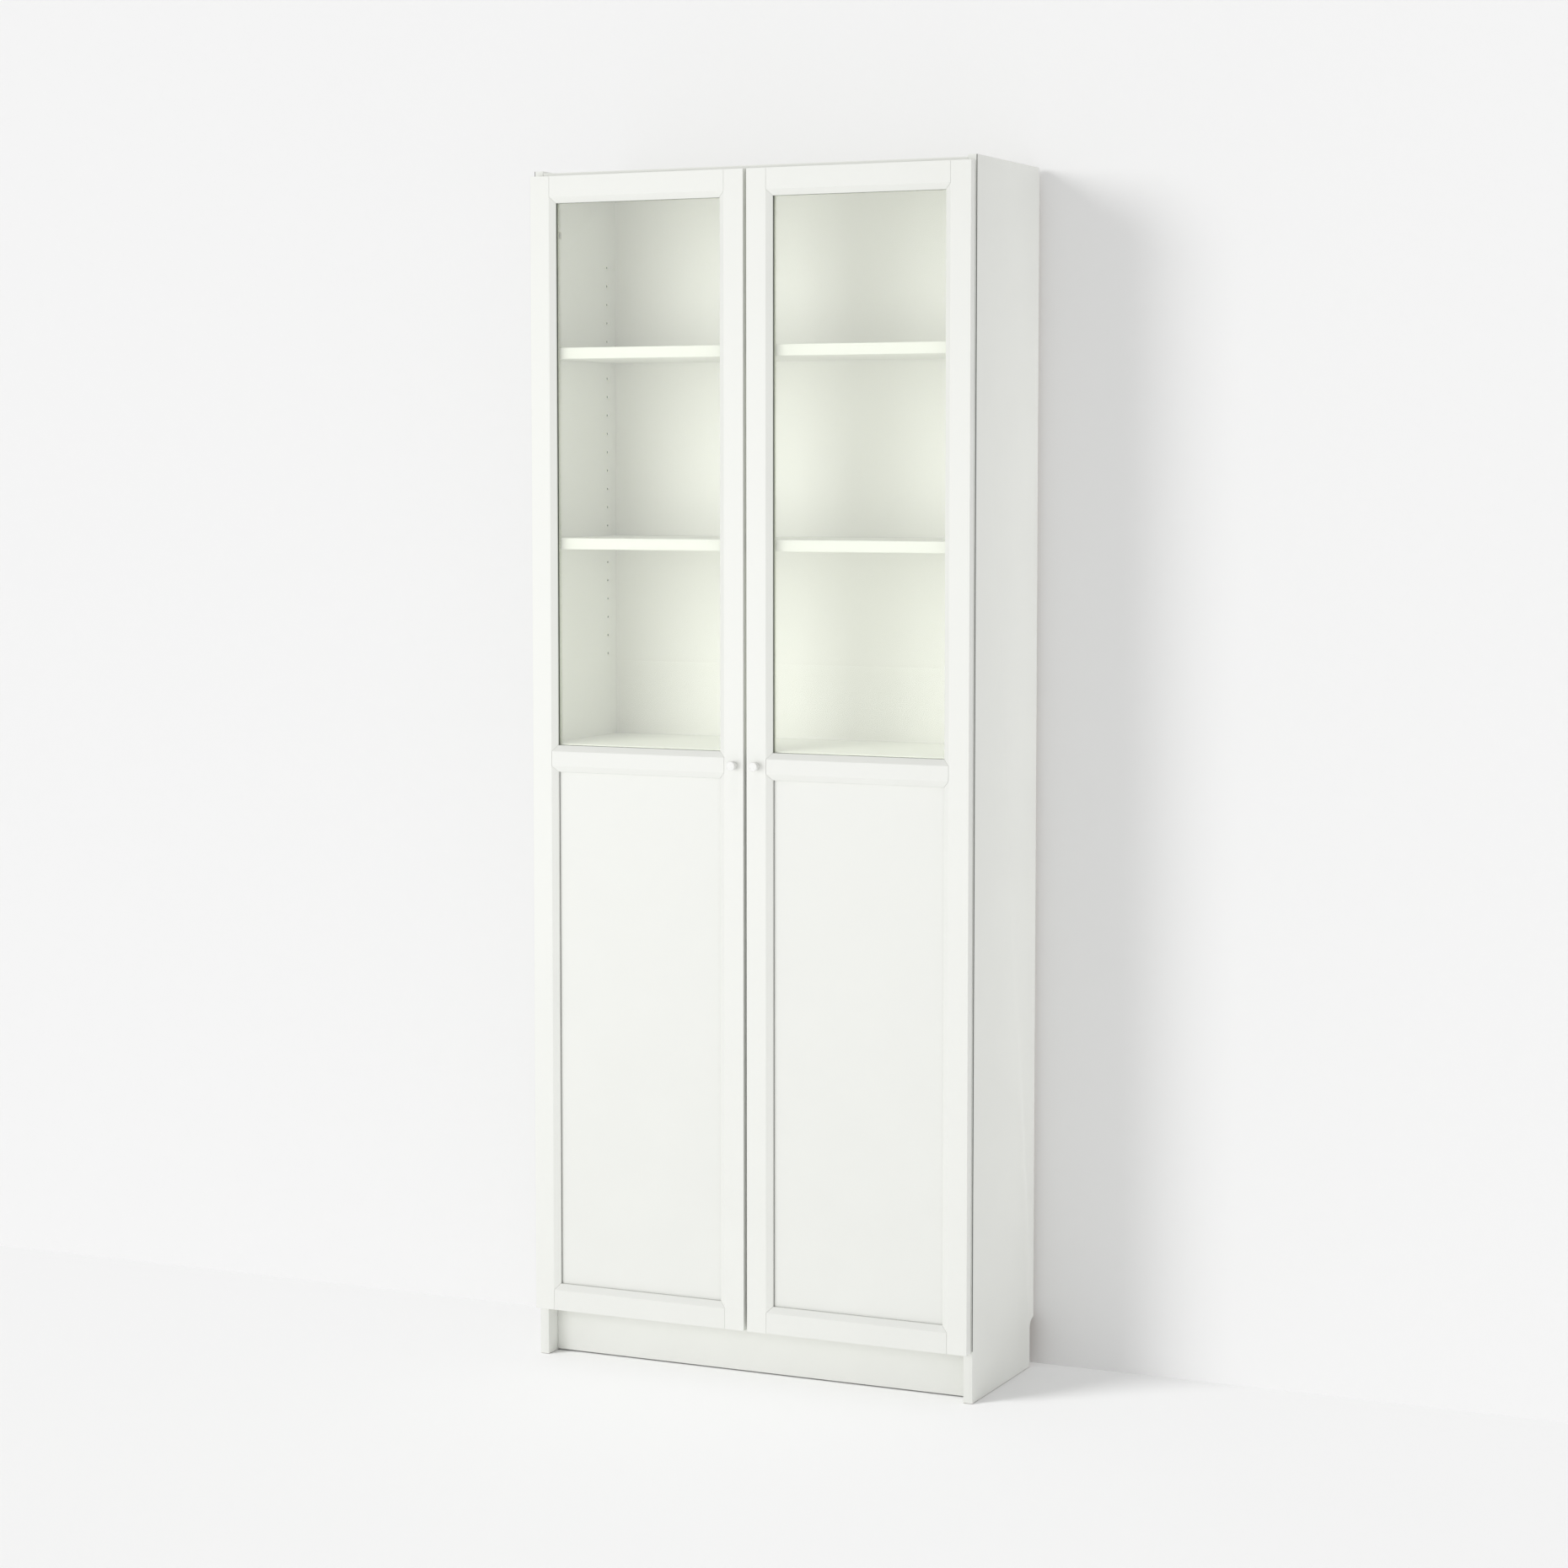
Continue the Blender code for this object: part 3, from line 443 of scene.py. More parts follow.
foil = {
    "carcass": {"colour": (0.861, 0.870, 0.829), "rough": 0.44},
    "door": {"colour": (0.875, 0.884, 0.845), "rough": 0.36},
    "panel": {"colour": (0.880, 0.889, 0.850), "rough": 0.38},
    "mottleScale": 9.0,
    "mottle": 0.012,
    "mottleRough": 0.05,
    "grainScale": 1500.0,
    "grainDepth": 0.00006,
    "grainBump": 0.35,
    "wearWidth": 0.0012,  # at the edges
    "wearScale": 55.0,
    "wearTone": 0.955,
    "wearRough": 0.10,
    "bandWidth": 0.0009,  # edge band on the front edges of the boards
    "bandLine": 0.00016,
    "bandTone": 0.90,
    "rawColour": (0.50, 0.39, 0.27),  # chipboard, where grooves and holes are cut
    "rawDark": (0.27, 0.19, 0.12),
    "rawStart": 0.0007,  # from the faces
    "rawRough": 0.4,
    "chipScale": 700.0,
    # painted shade: the pin holes and a thin rim around them are painted nearly black
    "holeColour": (0.020, 0.016, 0.012),
    "holeRim": 0.0005,
    "holeStart": (0.002, 0.003),  # from the outer face
    "closingTone": 0.16,  # painted shade: a dark line on a side panel's front edge, standing in for the shadow in the gap beside the door
    "closingWidth": 0.0015,
    "closingDepth": (0.0004, 0.0006),  # from the front face
    "closingFoot": (0.002, 0.004),  # from the doors' lower edges
}


def gapsToFaces(finish, place, low, high):  # how far a point is inside each pair of faces
    gaps = []
    for wire, start, end in zip(finish.along(place), low, high):
        gaps.append((end - start) / 2 - abs(wire - (start + end) / 2))
    return gaps


def edgeGap(gaps):  # the second smallest is how far the nearest edge is
    first, second, third = gaps
    return first.least(second).most(first.most(second).least(third))


def foilFinish(name, kind, low, high, outer=None, band=False):  # outer: x of a side panel's outer face
    finish = Finish(name)
    look = foil[kind]
    place = finish.place()
    gaps = gapsToFaces(finish, place, low, high)
    mottle = finish.noise(place, foil["mottleScale"], 4.0)
    cloud = finish.noise(place, foil["mottleScale"] / 5, 1.0)
    tone = finish.fade(mottle * 0.6 + cloud * 0.4, 0.3, 0.7)
    dull = scaled(look["colour"], 1 - foil["mottle"])
    bright = scaled(look["colour"], 1 + foil["mottle"] / 2)
    colour = finish.blend(tone, dull, bright)
    near = finish.fade(edgeGap(gaps), 0, foil["wearWidth"], 1, 0)
    rub = near * finish.fade(finish.noise(place, foil["wearScale"], 3.0), 0.35, 0.65, 0.2, 1.0)
    colour = finish.blend(rub, colour, scaled(look["colour"], foil["wearTone"]))
    rough = look["rough"] + foil["mottleRough"] * tone + foil["wearRough"] * rub
    grain = finish.noise(place, foil["grainScale"], 1.0)
    if band:
        front = finish.along(place)[1] - (low[1] + foil["bandWidth"])
        line = finish.fade(abs(front), 0, foil["bandLine"], 1, 0)
        colour = finish.blend(line, colour, scaled(look["colour"], foil["bandTone"]))
    if outer is not None:
        cut = finish.fade(gaps[0].least(gaps[1]).least(gaps[2]), foil["rawStart"] * 0.6, foil["rawStart"])
        chips = finish.fade(finish.noise(place, foil["chipScale"], 3.0), 0.4, 0.6)
        board = finish.blend(chips, foil["rawDark"], foil["rawColour"])
        colour = finish.blend(cut, colour, board)
        inside = abs(finish.along(place)[0] - outer)
        # painted shade in the pin holes and on their rims
        colour = finish.blend(pinHoleShade(finish, place, inside, low), colour, foil["holeColour"])
        # painted shade: the dark line in the gap between a door and the side panel
        gapShade = gapShadeLine(finish, place, inside, low)
        colour = finish.blend(gapShade, colour, scaled(look["colour"], foil["closingTone"]))
        rough = rough + foil["rawRough"] * cut
        grain = grain + 2.0 * cut * chips
    normal = finish.bump(grain, foil["grainBump"], foil["grainDepth"])
    return finish.out(finish.principled(Base_Color=colour, Roughness=rough, Normal=normal))


backLook = {
    "white": (0.862, 0.866, 0.815),
    "brown": (0.36, 0.24, 0.14),
    "fibre": (0.46, 0.32, 0.20),
    "fibreScale": 260.0,
    "fibreStretch": (1, 1, 0.25),
    "fibreBump": 0.5,
    "fibreDepth": 0.0001,
    "cloudScale": 6.0,
    "paintEnd": (0.0004, 0.0006),  # from the inner face
    "rough": 0.5,
    "rearRough": 0.25,
}


def backFinish(low):  # white inside, bare hardboard behind
    finish = Finish("hardboard")
    place = finish.place()
    depth = finish.along(place)[1]
    start, end = (low[1] + step for step in backLook["paintEnd"])
    rear = finish.fade(depth, start, end)
    strands = finish.noise(finish.stretched(place, backLook["fibreStretch"]), backLook["fibreScale"], 5.0)
    cloud = finish.noise(place, backLook["cloudScale"], 3.0)
    brown = finish.blend(finish.fade(strands, 0.35, 0.65), backLook["brown"], backLook["fibre"])
    white = finish.blend(cloud, scaled(backLook["white"], 0.985), backLook["white"])
    colour = finish.blend(rear, white, brown)
    rough = backLook["rough"] + backLook["rearRough"] * rear + 0.05 * cloud
    normal = finish.bump(strands * rear + 0.1 * strands, backLook["fibreBump"], backLook["fibreDepth"])
    return finish.out(finish.principled(Base_Color=colour, Roughness=rough, Normal=normal))


glassLook = {
    "tint": (0.984, 0.991, 0.962),
    "lampTint": (0.980, 0.992, 0.952),
    "edgeTint": (0.30, 0.62, 0.46),
    "edgeWidth": 0.0015,
    "ior": 1.5,
    "waveScale": 3.0,
    "waveBump": 0.2,
    "waveDepth": 0.00002,
}


def glassFinish(name, low, high):
    finish = Finish(name)
    place = finish.place()
    across, _, up = gapsToFaces(finish, place, low, high)
    rim = finish.fade(across.least(up), 0, glassLook["edgeWidth"], 1, 0)
    colour = finish.blend(rim, glassLook["tint"], glassLook["edgeTint"])
    waves = finish.noise(place, glassLook["waveScale"], 0.0)
    normal = finish.bump(waves, glassLook["waveBump"], glassLook["waveDepth"])
    sockets = {"Base_Color": colour, "Roughness": 0.0, "IOR": glassLook["ior"], "Transmission_Weight": 1.0}
    pane = finish.principled(**sockets, Normal=normal)
    clear = finish.node("ShaderNodeBsdfTransparent", {}, {"Color": glassLook["lampTint"]})
    shadow = finish.node("ShaderNodeLightPath", output="Is Shadow Ray")
    diffuse = finish.node("ShaderNodeLightPath", output="Is Diffuse Ray")
    return finish.out(finish.node("ShaderNodeMixShader", {}, {0: shadow.most(diffuse), 1: pane, 2: clear}))


metals = {
    "nickel": {"colour": (0.66, 0.65, 0.62), "rough": 0.26, "scratch": (40.0, 900.0, 40.0)},
    "zinc": {"colour": (0.62, 0.63, 0.63), "rough": 0.34, "scratch": (300.0, 300.0, 900.0)},
    "cloudScale": 120.0,
    "cloudTone": 0.88,
    "cloudRough": 0.10,
    "scratchRough": 0.06,
    "scratchBump": 0.15,
    "scratchDepth": 0.00003,
}


def metalFinish(kind):
    finish = Finish(kind)
    look = metals[kind]
    place = finish.place()
    brushed = finish.noise(finish.stretched(place, look["scratch"]), 1.0, 3.0)
    cloud = finish.noise(place, metals["cloudScale"], 3.0)
    dull = scaled(look["colour"], metals["cloudTone"])
    colour = finish.blend(finish.fade(cloud, 0.3, 0.7), dull, look["colour"])
    rough = look["rough"] + metals["cloudRough"] * cloud + metals["scratchRough"] * brushed
    normal = finish.bump(brushed, metals["scratchBump"], metals["scratchDepth"])
    return finish.out(finish.principled(Base_Color=colour, Metallic=1.0, Roughness=rough, Normal=normal))


knobLook = {
    "colour": (0.865, 0.868, 0.845),
    "rough": 0.24,
    "coat": 0.25,
    "peelScale": 1100.0,
    "peelBump": 0.25,
    "peelDepth": 0.00005,
    "cloudScale": 160.0,
    "cloud": 0.03,
    "cloudRough": 0.08,
}


def knobFinish():
    finish = Finish("knobPaint")
    place = finish.place()
    peel = finish.noise(place, knobLook["peelScale"], 1.0)
    cloud = finish.noise(place, knobLook["cloudScale"])
    dull = scaled(knobLook["colour"], 1 - knobLook["cloud"])
    bright = scaled(knobLook["colour"], 1 + knobLook["cloud"])
    colour = finish.blend(cloud, dull, bright)
    rough = knobLook["rough"] + knobLook["cloudRough"] * cloud
    normal = finish.bump(peel, knobLook["peelBump"], knobLook["peelDepth"])
    sockets = {"Base_Color": colour, "Roughness": rough, "Coat_Weight": knobLook["coat"], "Normal": normal}
    return finish.out(finish.principled(**sockets))


# painted shade: the strips are dark to stand in for the shadow in the lips' recess
sealShadeLook = {
    "seal": {"upright": (0.080, 0.085, 0.072), "level": (0.38, 0.39, 0.36)},
    "bead": {"upright": (0.22, 0.22, 0.21), "level": (0.60, 0.61, 0.58)},
    "rough": 0.6,
    "width": 0.0015,
    "dustScale": 240.0,
    "dust": 0.2,
    "dustRough": 0.15,
    "dustBump": 0.3,
    "dustDepth": 0.00005,
}


def sealShadeFinish(name, kind, start, end):  # painted shade: darker on the uprights, which are at start and end, than on the level parts, as the upright lips lie in shadow
    finish = Finish(name)
    look = sealShadeLook[kind]
    place = finish.place()
    dust = finish.noise(place, sealShadeLook["dustScale"], 3.0)
    inside = (end - start) / 2 - abs(finish.along(place)[0] - (start + end) / 2)
    # painted shade: dark tone on the uprights, lighter tone on the level parts
    level = finish.fade(inside, sealShadeLook["width"], 2 * sealShadeLook["width"])
    tone = finish.blend(level, look["upright"], look["level"])
    dull = finish.times(tone, 1 - sealShadeLook["dust"])
    bright = finish.times(tone, 1 + sealShadeLook["dust"])
    colour = finish.blend(dust, dull, bright)
    rough = sealShadeLook["rough"] + sealShadeLook["dustRough"] * dust
    normal = finish.bump(dust, sealShadeLook["dustBump"], sealShadeLook["dustDepth"])
    return finish.out(finish.principled(Base_Color=colour, Roughness=rough, Normal=normal))


glideLook = {"dark": (0.20, 0.20, 0.19), "pale": (0.26, 0.26, 0.25), "rough": 0.5, "scale": 300.0}


def glideFinish():  # grey plastic
    finish = Finish("glide")
    cloud = finish.noise(finish.place(), glideLook["scale"])
    colour = finish.blend(cloud, glideLook["dark"], glideLook["pale"])
    return finish.out(finish.principled(Base_Color=colour, Roughness=glideLook["rough"] + 0.1 * cloud))


finishes = {
    "nickel": metalFinish("nickel"),
    "zinc": metalFinish("zinc"),
    "knob": knobFinish(),
    "glide": glideFinish(),
}
print("finishes made")


# Mesh tools

upright = Matrix.Identity(3)  # an outline in (x, y), thick along Z
fromSide = Matrix(((0, 0, 1), (1, 0, 0), (0, 1, 0)))  # an outline in (y, z), thick along X
fromFront = Matrix(((1, 0, 0), (0, 0, -1), (0, 1, 0)))  # an outline in (x, z), thick along Y
inward = {"left": 1, "right": -1}  # the way along X from each side to the middle


def piece(name, mesh, finish, body, slot, stands=(), place=None):
    made = bpy.data.objects.new(name, mesh)
    bpy.context.scene.collection.objects.link(made)
    if place is not None:
        made.matrix_world = place
    mesh.materials.clear()
    mesh.materials.append(finish)
    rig.ride(made, body)
    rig.slot(made, slot)
    if stands:
        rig.replaces(made, *stands)


def meshOf(shape):
    bmesh.ops.recalc_face_normals(shape, faces=shape.faces)
    mesh = bpy.data.meshes.new("shape")
    shape.to_mesh(mesh)
    shape.free()
    return mesh


def smoothed(mesh, angle=32):
    mesh.shade_smooth()
    mesh.set_sharp_from_angle(angle=math.radians(angle))
    return mesh


def block(low, high):
    shape = bmesh.new()
    bmesh.ops.create_cube(shape, size=1)
    size = [b - a for a, b in zip(low, high)]
    middle = [(a + b) / 2 for a, b in zip(low, high)]
    bmesh.ops.scale(shape, vec=size, verts=shape.verts)
    bmesh.ops.translate(shape, vec=middle, verts=shape.verts)
    return meshOf(shape)


def slab(points, low, high):  # a flat outline between two heights
    shape = bmesh.new()
    face = shape.faces.new([shape.verts.new((across, up, low)) for across, up in points])
    extruded = bmesh.ops.extrude_face_region(shape, geom=[face])
    risen = [item for item in extruded["geom"] if isinstance(item, bmesh.types.BMVert)]
    bmesh.ops.translate(shape, vec=(0, 0, high - low), verts=risen)
    return meshOf(shape)


def turned(profile, steps):  # half section (radius, height), swept about Z
    shape = bmesh.new()
    rings = []
    for radius, height in profile:
        if radius <= 0:
            rings.append([shape.verts.new((0, 0, height))] * steps)
            continue
        ring = []
        for step in range(steps):
            angle = 2 * math.pi * step / steps
            ring.append(shape.verts.new((radius * math.cos(angle), radius * math.sin(angle), height)))
        rings.append(ring)
    for first, second in zip(rings, rings[1:]):
        for step in range(steps):
            after = (step + 1) % steps
            corners = [first[step], first[after], second[after], second[step]]
            shape.faces.new(list(dict.fromkeys(corners)))
    return meshOf(shape)


def rods(radius, length, centres, turn, steps):
    shape = bmesh.new()
    for centre in centres:
        place = Matrix.Translation(centre) @ turn.to_4x4()
        bmesh.ops.create_cone(
            shape, cap_ends=True, segments=steps, radius1=radius, radius2=radius, depth=length, matrix=place
        )
    return meshOf(shape)


def moved(mesh, turn, shift=(0, 0, 0)):
    mesh.transform(Matrix.Translation(shift) @ turn.to_4x4())
    return mesh


def arc(centre, radius, start, end, steps):  # angles in degrees
    points = []
    for step in range(steps + 1):
        angle = math.radians(start + (end - start) * step / steps)
        points.append((centre[0] + radius * math.cos(angle), centre[1] + radius * math.sin(angle)))
    return points


def capsule(centre, length, width):  # upright slot with round ends
    reach = (length - width) / 2
    upper = arc((centre[0], centre[1] + reach), width / 2, 0, 180, 14)
    lower = arc((centre[0], centre[1] - reach), width / 2, 180, 360, 14)
    return upper + lower


def worked(mesh, *steps):  # runs modifiers on a mesh; a mesh among their settings is a cutter
    holder = bpy.data.objects.new("holder", mesh)
    bpy.context.scene.collection.objects.link(holder)
    helpers = [holder]
    for kind, settings in steps:
        modifier = holder.modifiers.new(kind, kind)
        for key, value in settings.items():
            if isinstance(value, bpy.types.Mesh):
                value = bpy.data.objects.new("cutter", value)
                bpy.context.scene.collection.objects.link(value)
                helpers.append(value)
            setattr(modifier, key, value)
    graph = bpy.context.evaluated_depsgraph_get()
    result = bpy.data.meshes.new_from_object(holder.evaluated_get(graph))
    for helper in helpers:
        used = helper.data
        bpy.data.objects.remove(helper)
        bpy.data.meshes.remove(used)
    return result


def cut(mesh):
    return ("BOOLEAN", {"operation": "DIFFERENCE", "solver": "EXACT", "object": mesh})


def join(mesh):
    return ("BOOLEAN", {"operation": "UNION", "solver": "EXACT", "object": mesh})


def rounded(width, angle=40):  # edges sharper than this angle
    settings = {"width": width, "segments": 2, "limit_method": "ANGLE", "angle_limit": math.radians(angle)}
    return ("BEVEL", settings)


# Boards, frames and panes that keep their CAD shape

carcassBoards = ("top_panel", "bottom_panel", "fixed_shelf", "upper_shelf_1", "upper_shelf_2")
carcassBoards += ("lower_shelf_1", "lower_shelf_2")
frameParts = ("hinge_stile", "inner_stile", "top_rail", "middle_rail", "bottom_rail")


def dress(node, material):
    data = frame["nodes"][node].data
    data.materials.clear()
    data.materials.append(material)


def dressBoards():
    for node in carcassBoards:
        dress(node, foilFinish(node, "carcass", *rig.box(node), band=True))
    dress("back_panel", backFinish(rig.box("back_panel")[0]))
    for side in inward:
        for part in frameParts:
            node = f"{side}_door_{part}"
            dress(node, foilFinish(node, "door", *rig.box(node)))
        node = f"{side}_door_panel"
        dress(node, foilFinish(node, "panel", *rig.box(node)))
        node = f"{side}_door_glass"
        dress(node, glassFinish(node, *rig.box(node)))


dressBoards()
print("boards and doors dressed")


# Side panels, with round pin holes

sidePanel = {
    "holeRadius": 0.0017,
    "holeDepth": 0.010,
    "pitch": 0.032,
    "rowHoles": 22,
    "shelfHole": 5,  # holes above the upper shelf's
    "groupStep": 30,  # pitches between the tops of the two groups
    "rows": (0.037, 0.2307),  # from the front edge
    "grooveDepth": 0.005,
    "grooveClear": 0.0003,
    "notch": (0.017, 0.0835),  # for a skirting board at the rear foot
    "ease": 0.0004,
    "lift": 0.0007,  # on its glides
    "glideRadius": 0.005,
    "glideInset": 0.025,
}
sinkOfPins = 0.0048  # a shelf's underside lies this far below its pins' centres


def holeHeights():
    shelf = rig.box("upper_shelf_1")[0].z + sinkOfPins
    top = shelf + sidePanel["shelfHole"] * sidePanel["pitch"]
    heights = []
    for group in (0, sidePanel["groupStep"]):
        heights += [top - (group + step) * sidePanel["pitch"] for step in range(sidePanel["rowHoles"])]
    return heights


def pinHoleShade(finish, place, inside, low):  # 1 in the pin holes and on a rim around them, where painted shade makes the board nearly black
    _, depth, up = finish.along(place)
    heights = holeHeights()
    pitch = sidePanel["pitch"]
    front, rear = (abs(depth - (low[1] + row)) for row in sidePanel["rows"])
    across = front.least(rear)
    count = (up - heights[0]) / pitch
    along = (count - round(count)) * pitch
    distance = (across * across + along * along).root()
    half = (sidePanel["rowHoles"] - 1) * pitch / 2
    upper, lower = (abs(up - (top - half)) for top in (heights[0], heights[sidePanel["rowHoles"]]))
    beyond = upper.least(lower) - half
    radius = sidePanel["holeRadius"]
    holeShade = finish.fade(distance, radius + foil["holeRim"] / 4, radius + foil["holeRim"], 1, 0)
    group = finish.fade(beyond, radius * 2, radius * 3, 1, 0)
    return holeShade * group * finish.fade(inside, *foil["holeStart"])


def gapShadeLine(finish, place, inside, low):  # 1 on the outer corner of the front edge, beside the doors, where the gap's shadow is painted
    _, depth, up = finish.along(place)
    line = finish.fade(inside, foil["closingWidth"] * 0.9, foil["closingWidth"], 1, 0)
    front = finish.fade(depth - low[1], *foil["closingDepth"], 1, 0)
    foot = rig.box("left_door_hinge_stile")[0].z
    return line * front * finish.fade(up - foot, *foil["closingFoot"])


def makeSidePanel(side):
    node = f"{side}_side_panel"
    low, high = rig.box(node)
    depth, height = sidePanel["notch"]
    notch = arc((high.y, low.z + height - depth), depth, 180, 90, 10)
    foot = low.z + sidePanel["lift"]
    outline = [(low.y, foot), (high.y - depth, foot), *notch, (high.y, high.z), (low.y, high.z)]
    mesh = moved(slab(outline, low.x, high.x), fromSide)
    face = low.x if side == "right" else high.x
    backLow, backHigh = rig.box("back_panel")
    clear = sidePanel["grooveClear"]
    deep = sidePanel["grooveDepth"]
    grooveLow = (face - deep, backLow.y - clear, backLow.z - clear)
    grooveHigh = (face + deep, backHigh.y + clear, backHigh.z + clear)
    centres = [(face, low.y + row, height) for row in sidePanel["rows"] for height in holeHeights()]
    holes = rods(sidePanel["holeRadius"], 2 * sidePanel["holeDepth"], centres, fromSide, 20)
    mesh = worked(mesh, rounded(sidePanel["ease"]), cut(block(grooveLow, grooveHigh)), cut(holes))
    outer = high.x if side == "right" else low.x
    material = foilFinish(node, "carcass", low, high, outer, band=True)
    piece(f"{side}_side", smoothed(mesh), material, "carcass", "board", [node])
    inset = sidePanel["glideInset"]
    middle = (low.x + high.x) / 2
    feet = [(middle, y, foot) for y in (low.y + inset, high.y - depth - inset)]
    glides = rods(sidePanel["glideRadius"], 2 * sidePanel["lift"], feet, upright, 24)
    piece(f"{side}_glides", smoothed(glides), finishes["glide"], "carcass", "board")


for side in inward:
    makeSidePanel(side)
print("side panels made")


# Plinth, a shadow gap above the floor

plinth = {"lift": 0.0027, "ease": 0.0005}


def makePlinth():
    low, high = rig.box("plinth")
    mesh = worked(block((low.x, low.y, low.z + plinth["lift"]), high), rounded(plinth["ease"]))
    material = foilFinish("plinth", "carcass", low, high)
    piece("plinth_board", smoothed(mesh), material, "carcass", "board", ["plinth"])


makePlinth()
print("plinth made")


# Knobs

knob = {
    "rounding": 0.0011,
    "dish": 0.00015,
    "headDepth": 0.0035,
    "neck": 0.0055,
    "waist": 0.32,  # share of the length where the neck starts to widen
    "base": 0.0066,
    "foot": 0.0006,
    "footEase": 0.0003,
}


def makeKnob(side):
    node = f"{side}_door_knob"
    low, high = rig.box(node)
    radius = (high.x - low.x) / 2
    length = high.y - low.y
    curve = knob["rounding"]
    headFoot = length - knob["headDepth"]
    profile = [(0, length - knob["dish"]), (radius * 0.5, length - knob["dish"] * 0.75)]
    profile += arc((radius - curve, length - curve), curve, 88, 0, 7)
    profile += arc((radius - curve / 2, headFoot + curve / 2), curve / 2, 0, -80, 5)
    profile += arc((knob["neck"] + curve, headFoot - curve), curve, 90, 180, 6)
    waist = length * knob["waist"]
    flare = knob["base"] - knob["neck"]
    profile += [(knob["neck"] + flare * step**2, waist * (1 - step)) for step in (0, 0.35, 0.6, 0.8, 0.95)]
    profile += [(knob["base"], knob["foot"]), (knob["base"] - knob["footEase"], 0), (0, 0)]
    middle = ((low.x + high.x) / 2, high.y, (low.z + high.z) / 2)
    mesh = moved(turned(profile, 72), fromFront, middle)
    piece(f"{side}_knob", smoothed(mesh, 40), finishes["knob"], f"{side}_door", "knob", [node])


for side in inward:
    makeKnob(side)
print("knobs made")


# Seal and bead strips on the lips beside the glass and the panels; their dark colour is painted shade for the shadow
# in the lips' recess

strip = {"seal": 0.0028, "bead": 0.0017, "thick": 0.0004, "ease": 0.00012, "clear": 0.00004, "gap": 0.0001}


def makeStrip(name, finish, low, high, front, rear, body, slot):  # a mitred ring just inside an opening
    shape = bmesh.new()
    loops = []
    for inset in (strip["clear"], strip["clear"] + strip["thick"]):
        for depth in (front, rear):
            left, bottom = low[0] + inset, low[1] + inset
            right, top = high[0] - inset, high[1] - inset
            corners = ((left, bottom), (right, bottom), (right, top), (left, top))
            loops.append([shape.verts.new((x, depth, z)) for x, z in corners])
    outerFront, outerRear, innerFront, innerRear = loops
    order = (outerFront, innerFront, innerRear, outerRear)
    for first, second in zip(order, order[1:] + order[:1]):
        for step in range(4):
            after = (step + 1) % 4
            shape.faces.new((first[step], first[after], second[after], second[step]))
    mesh = worked(meshOf(shape), rounded(strip["ease"], 60))
    piece(name, smoothed(mesh), finish, body, slot)


def makeStrips(side):
    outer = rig.box(f"{side}_door_hinge_stile")
    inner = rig.box(f"{side}_door_inner_stile")
    first, second = (outer, inner) if side == "left" else (inner, outer)
    topRail, midRail, lowRail = (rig.box(f"{side}_door_{rail}_rail") for rail in ("top", "middle", "bottom"))
    openings = {
        "glazing_seal": ("seal", f"{side}_door_glass", midRail[1].z, topRail[0].z),
        "panel_bead": ("bead", f"{side}_door_panel", lowRail[1].z, midRail[0].z),
    }
    start, end = first[1].x, second[0].x
    for what, (kind, infill, bottom, top) in openings.items():
        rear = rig.box(infill)[0].y - strip["gap"]
        front = rear - strip[kind]
        name = f"{side}_{what}"
        finish = sealShadeFinish(name, kind, start, end)
        makeStrip(name, finish, (start, bottom), (end, top), front, rear, f"{side}_door", "door_frame")


for side in inward:
    makeStrips(side)
print("seals and beads made")


# Shelf pins

pin = {
    "radius": 0.0014,
    "collar": 0.0027,
    "collarDepth": 0.0010,
    "shank": 0.008,
    "tip": 0.0005,
    "point": 0.0006,
    "ease": 0.0002,
    "seam": 0.0003,
}


def makePins():
    for node in sorted(frame["nodes"]):
        if not node.startswith("shelf_pin"):
            continue
        low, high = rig.box(node)
        radius, collar, shank = pin["radius"], pin["collar"], pin["shank"]
        tip, ease = pin["tip"], pin["ease"]
        length = high.x - low.x - shank
        collarTop = pin["seam"] + pin["collarDepth"]
        profile = [(0, length), *arc((radius - tip, length - tip), tip, 90, 0, 6)]
        profile += [(radius, collarTop + ease), (radius + ease, collarTop)]
        profile += [(collar - ease, collarTop), (collar, collarTop - ease)]
        profile += [(collar, pin["seam"]), (radius, pin["seam"])]
        profile += [(radius, -shank + pin["point"]), (radius - pin["point"], -shank), (0, -shank)]
        sign = inward["left" if node.endswith("left") else "right"]
        wallX = low.x + shank if sign > 0 else high.x - shank
        turn = Matrix.Rotation(sign * math.pi / 2, 3, "Y")
        middle = (wallX, (low.y + high.y) / 2, (low.z + high.z) / 2)
        mesh = moved(turned(profile, 32), turn, middle)
        name = node.replace("shelf_pin", "pin")
        piece(name, smoothed(mesh), finishes["zinc"], "carcass", "pin_steel", [node])


makePins()
print("shelf pins made")


# Hinges, drawn for the left side from the pivot: x towards the middle, y back, z up

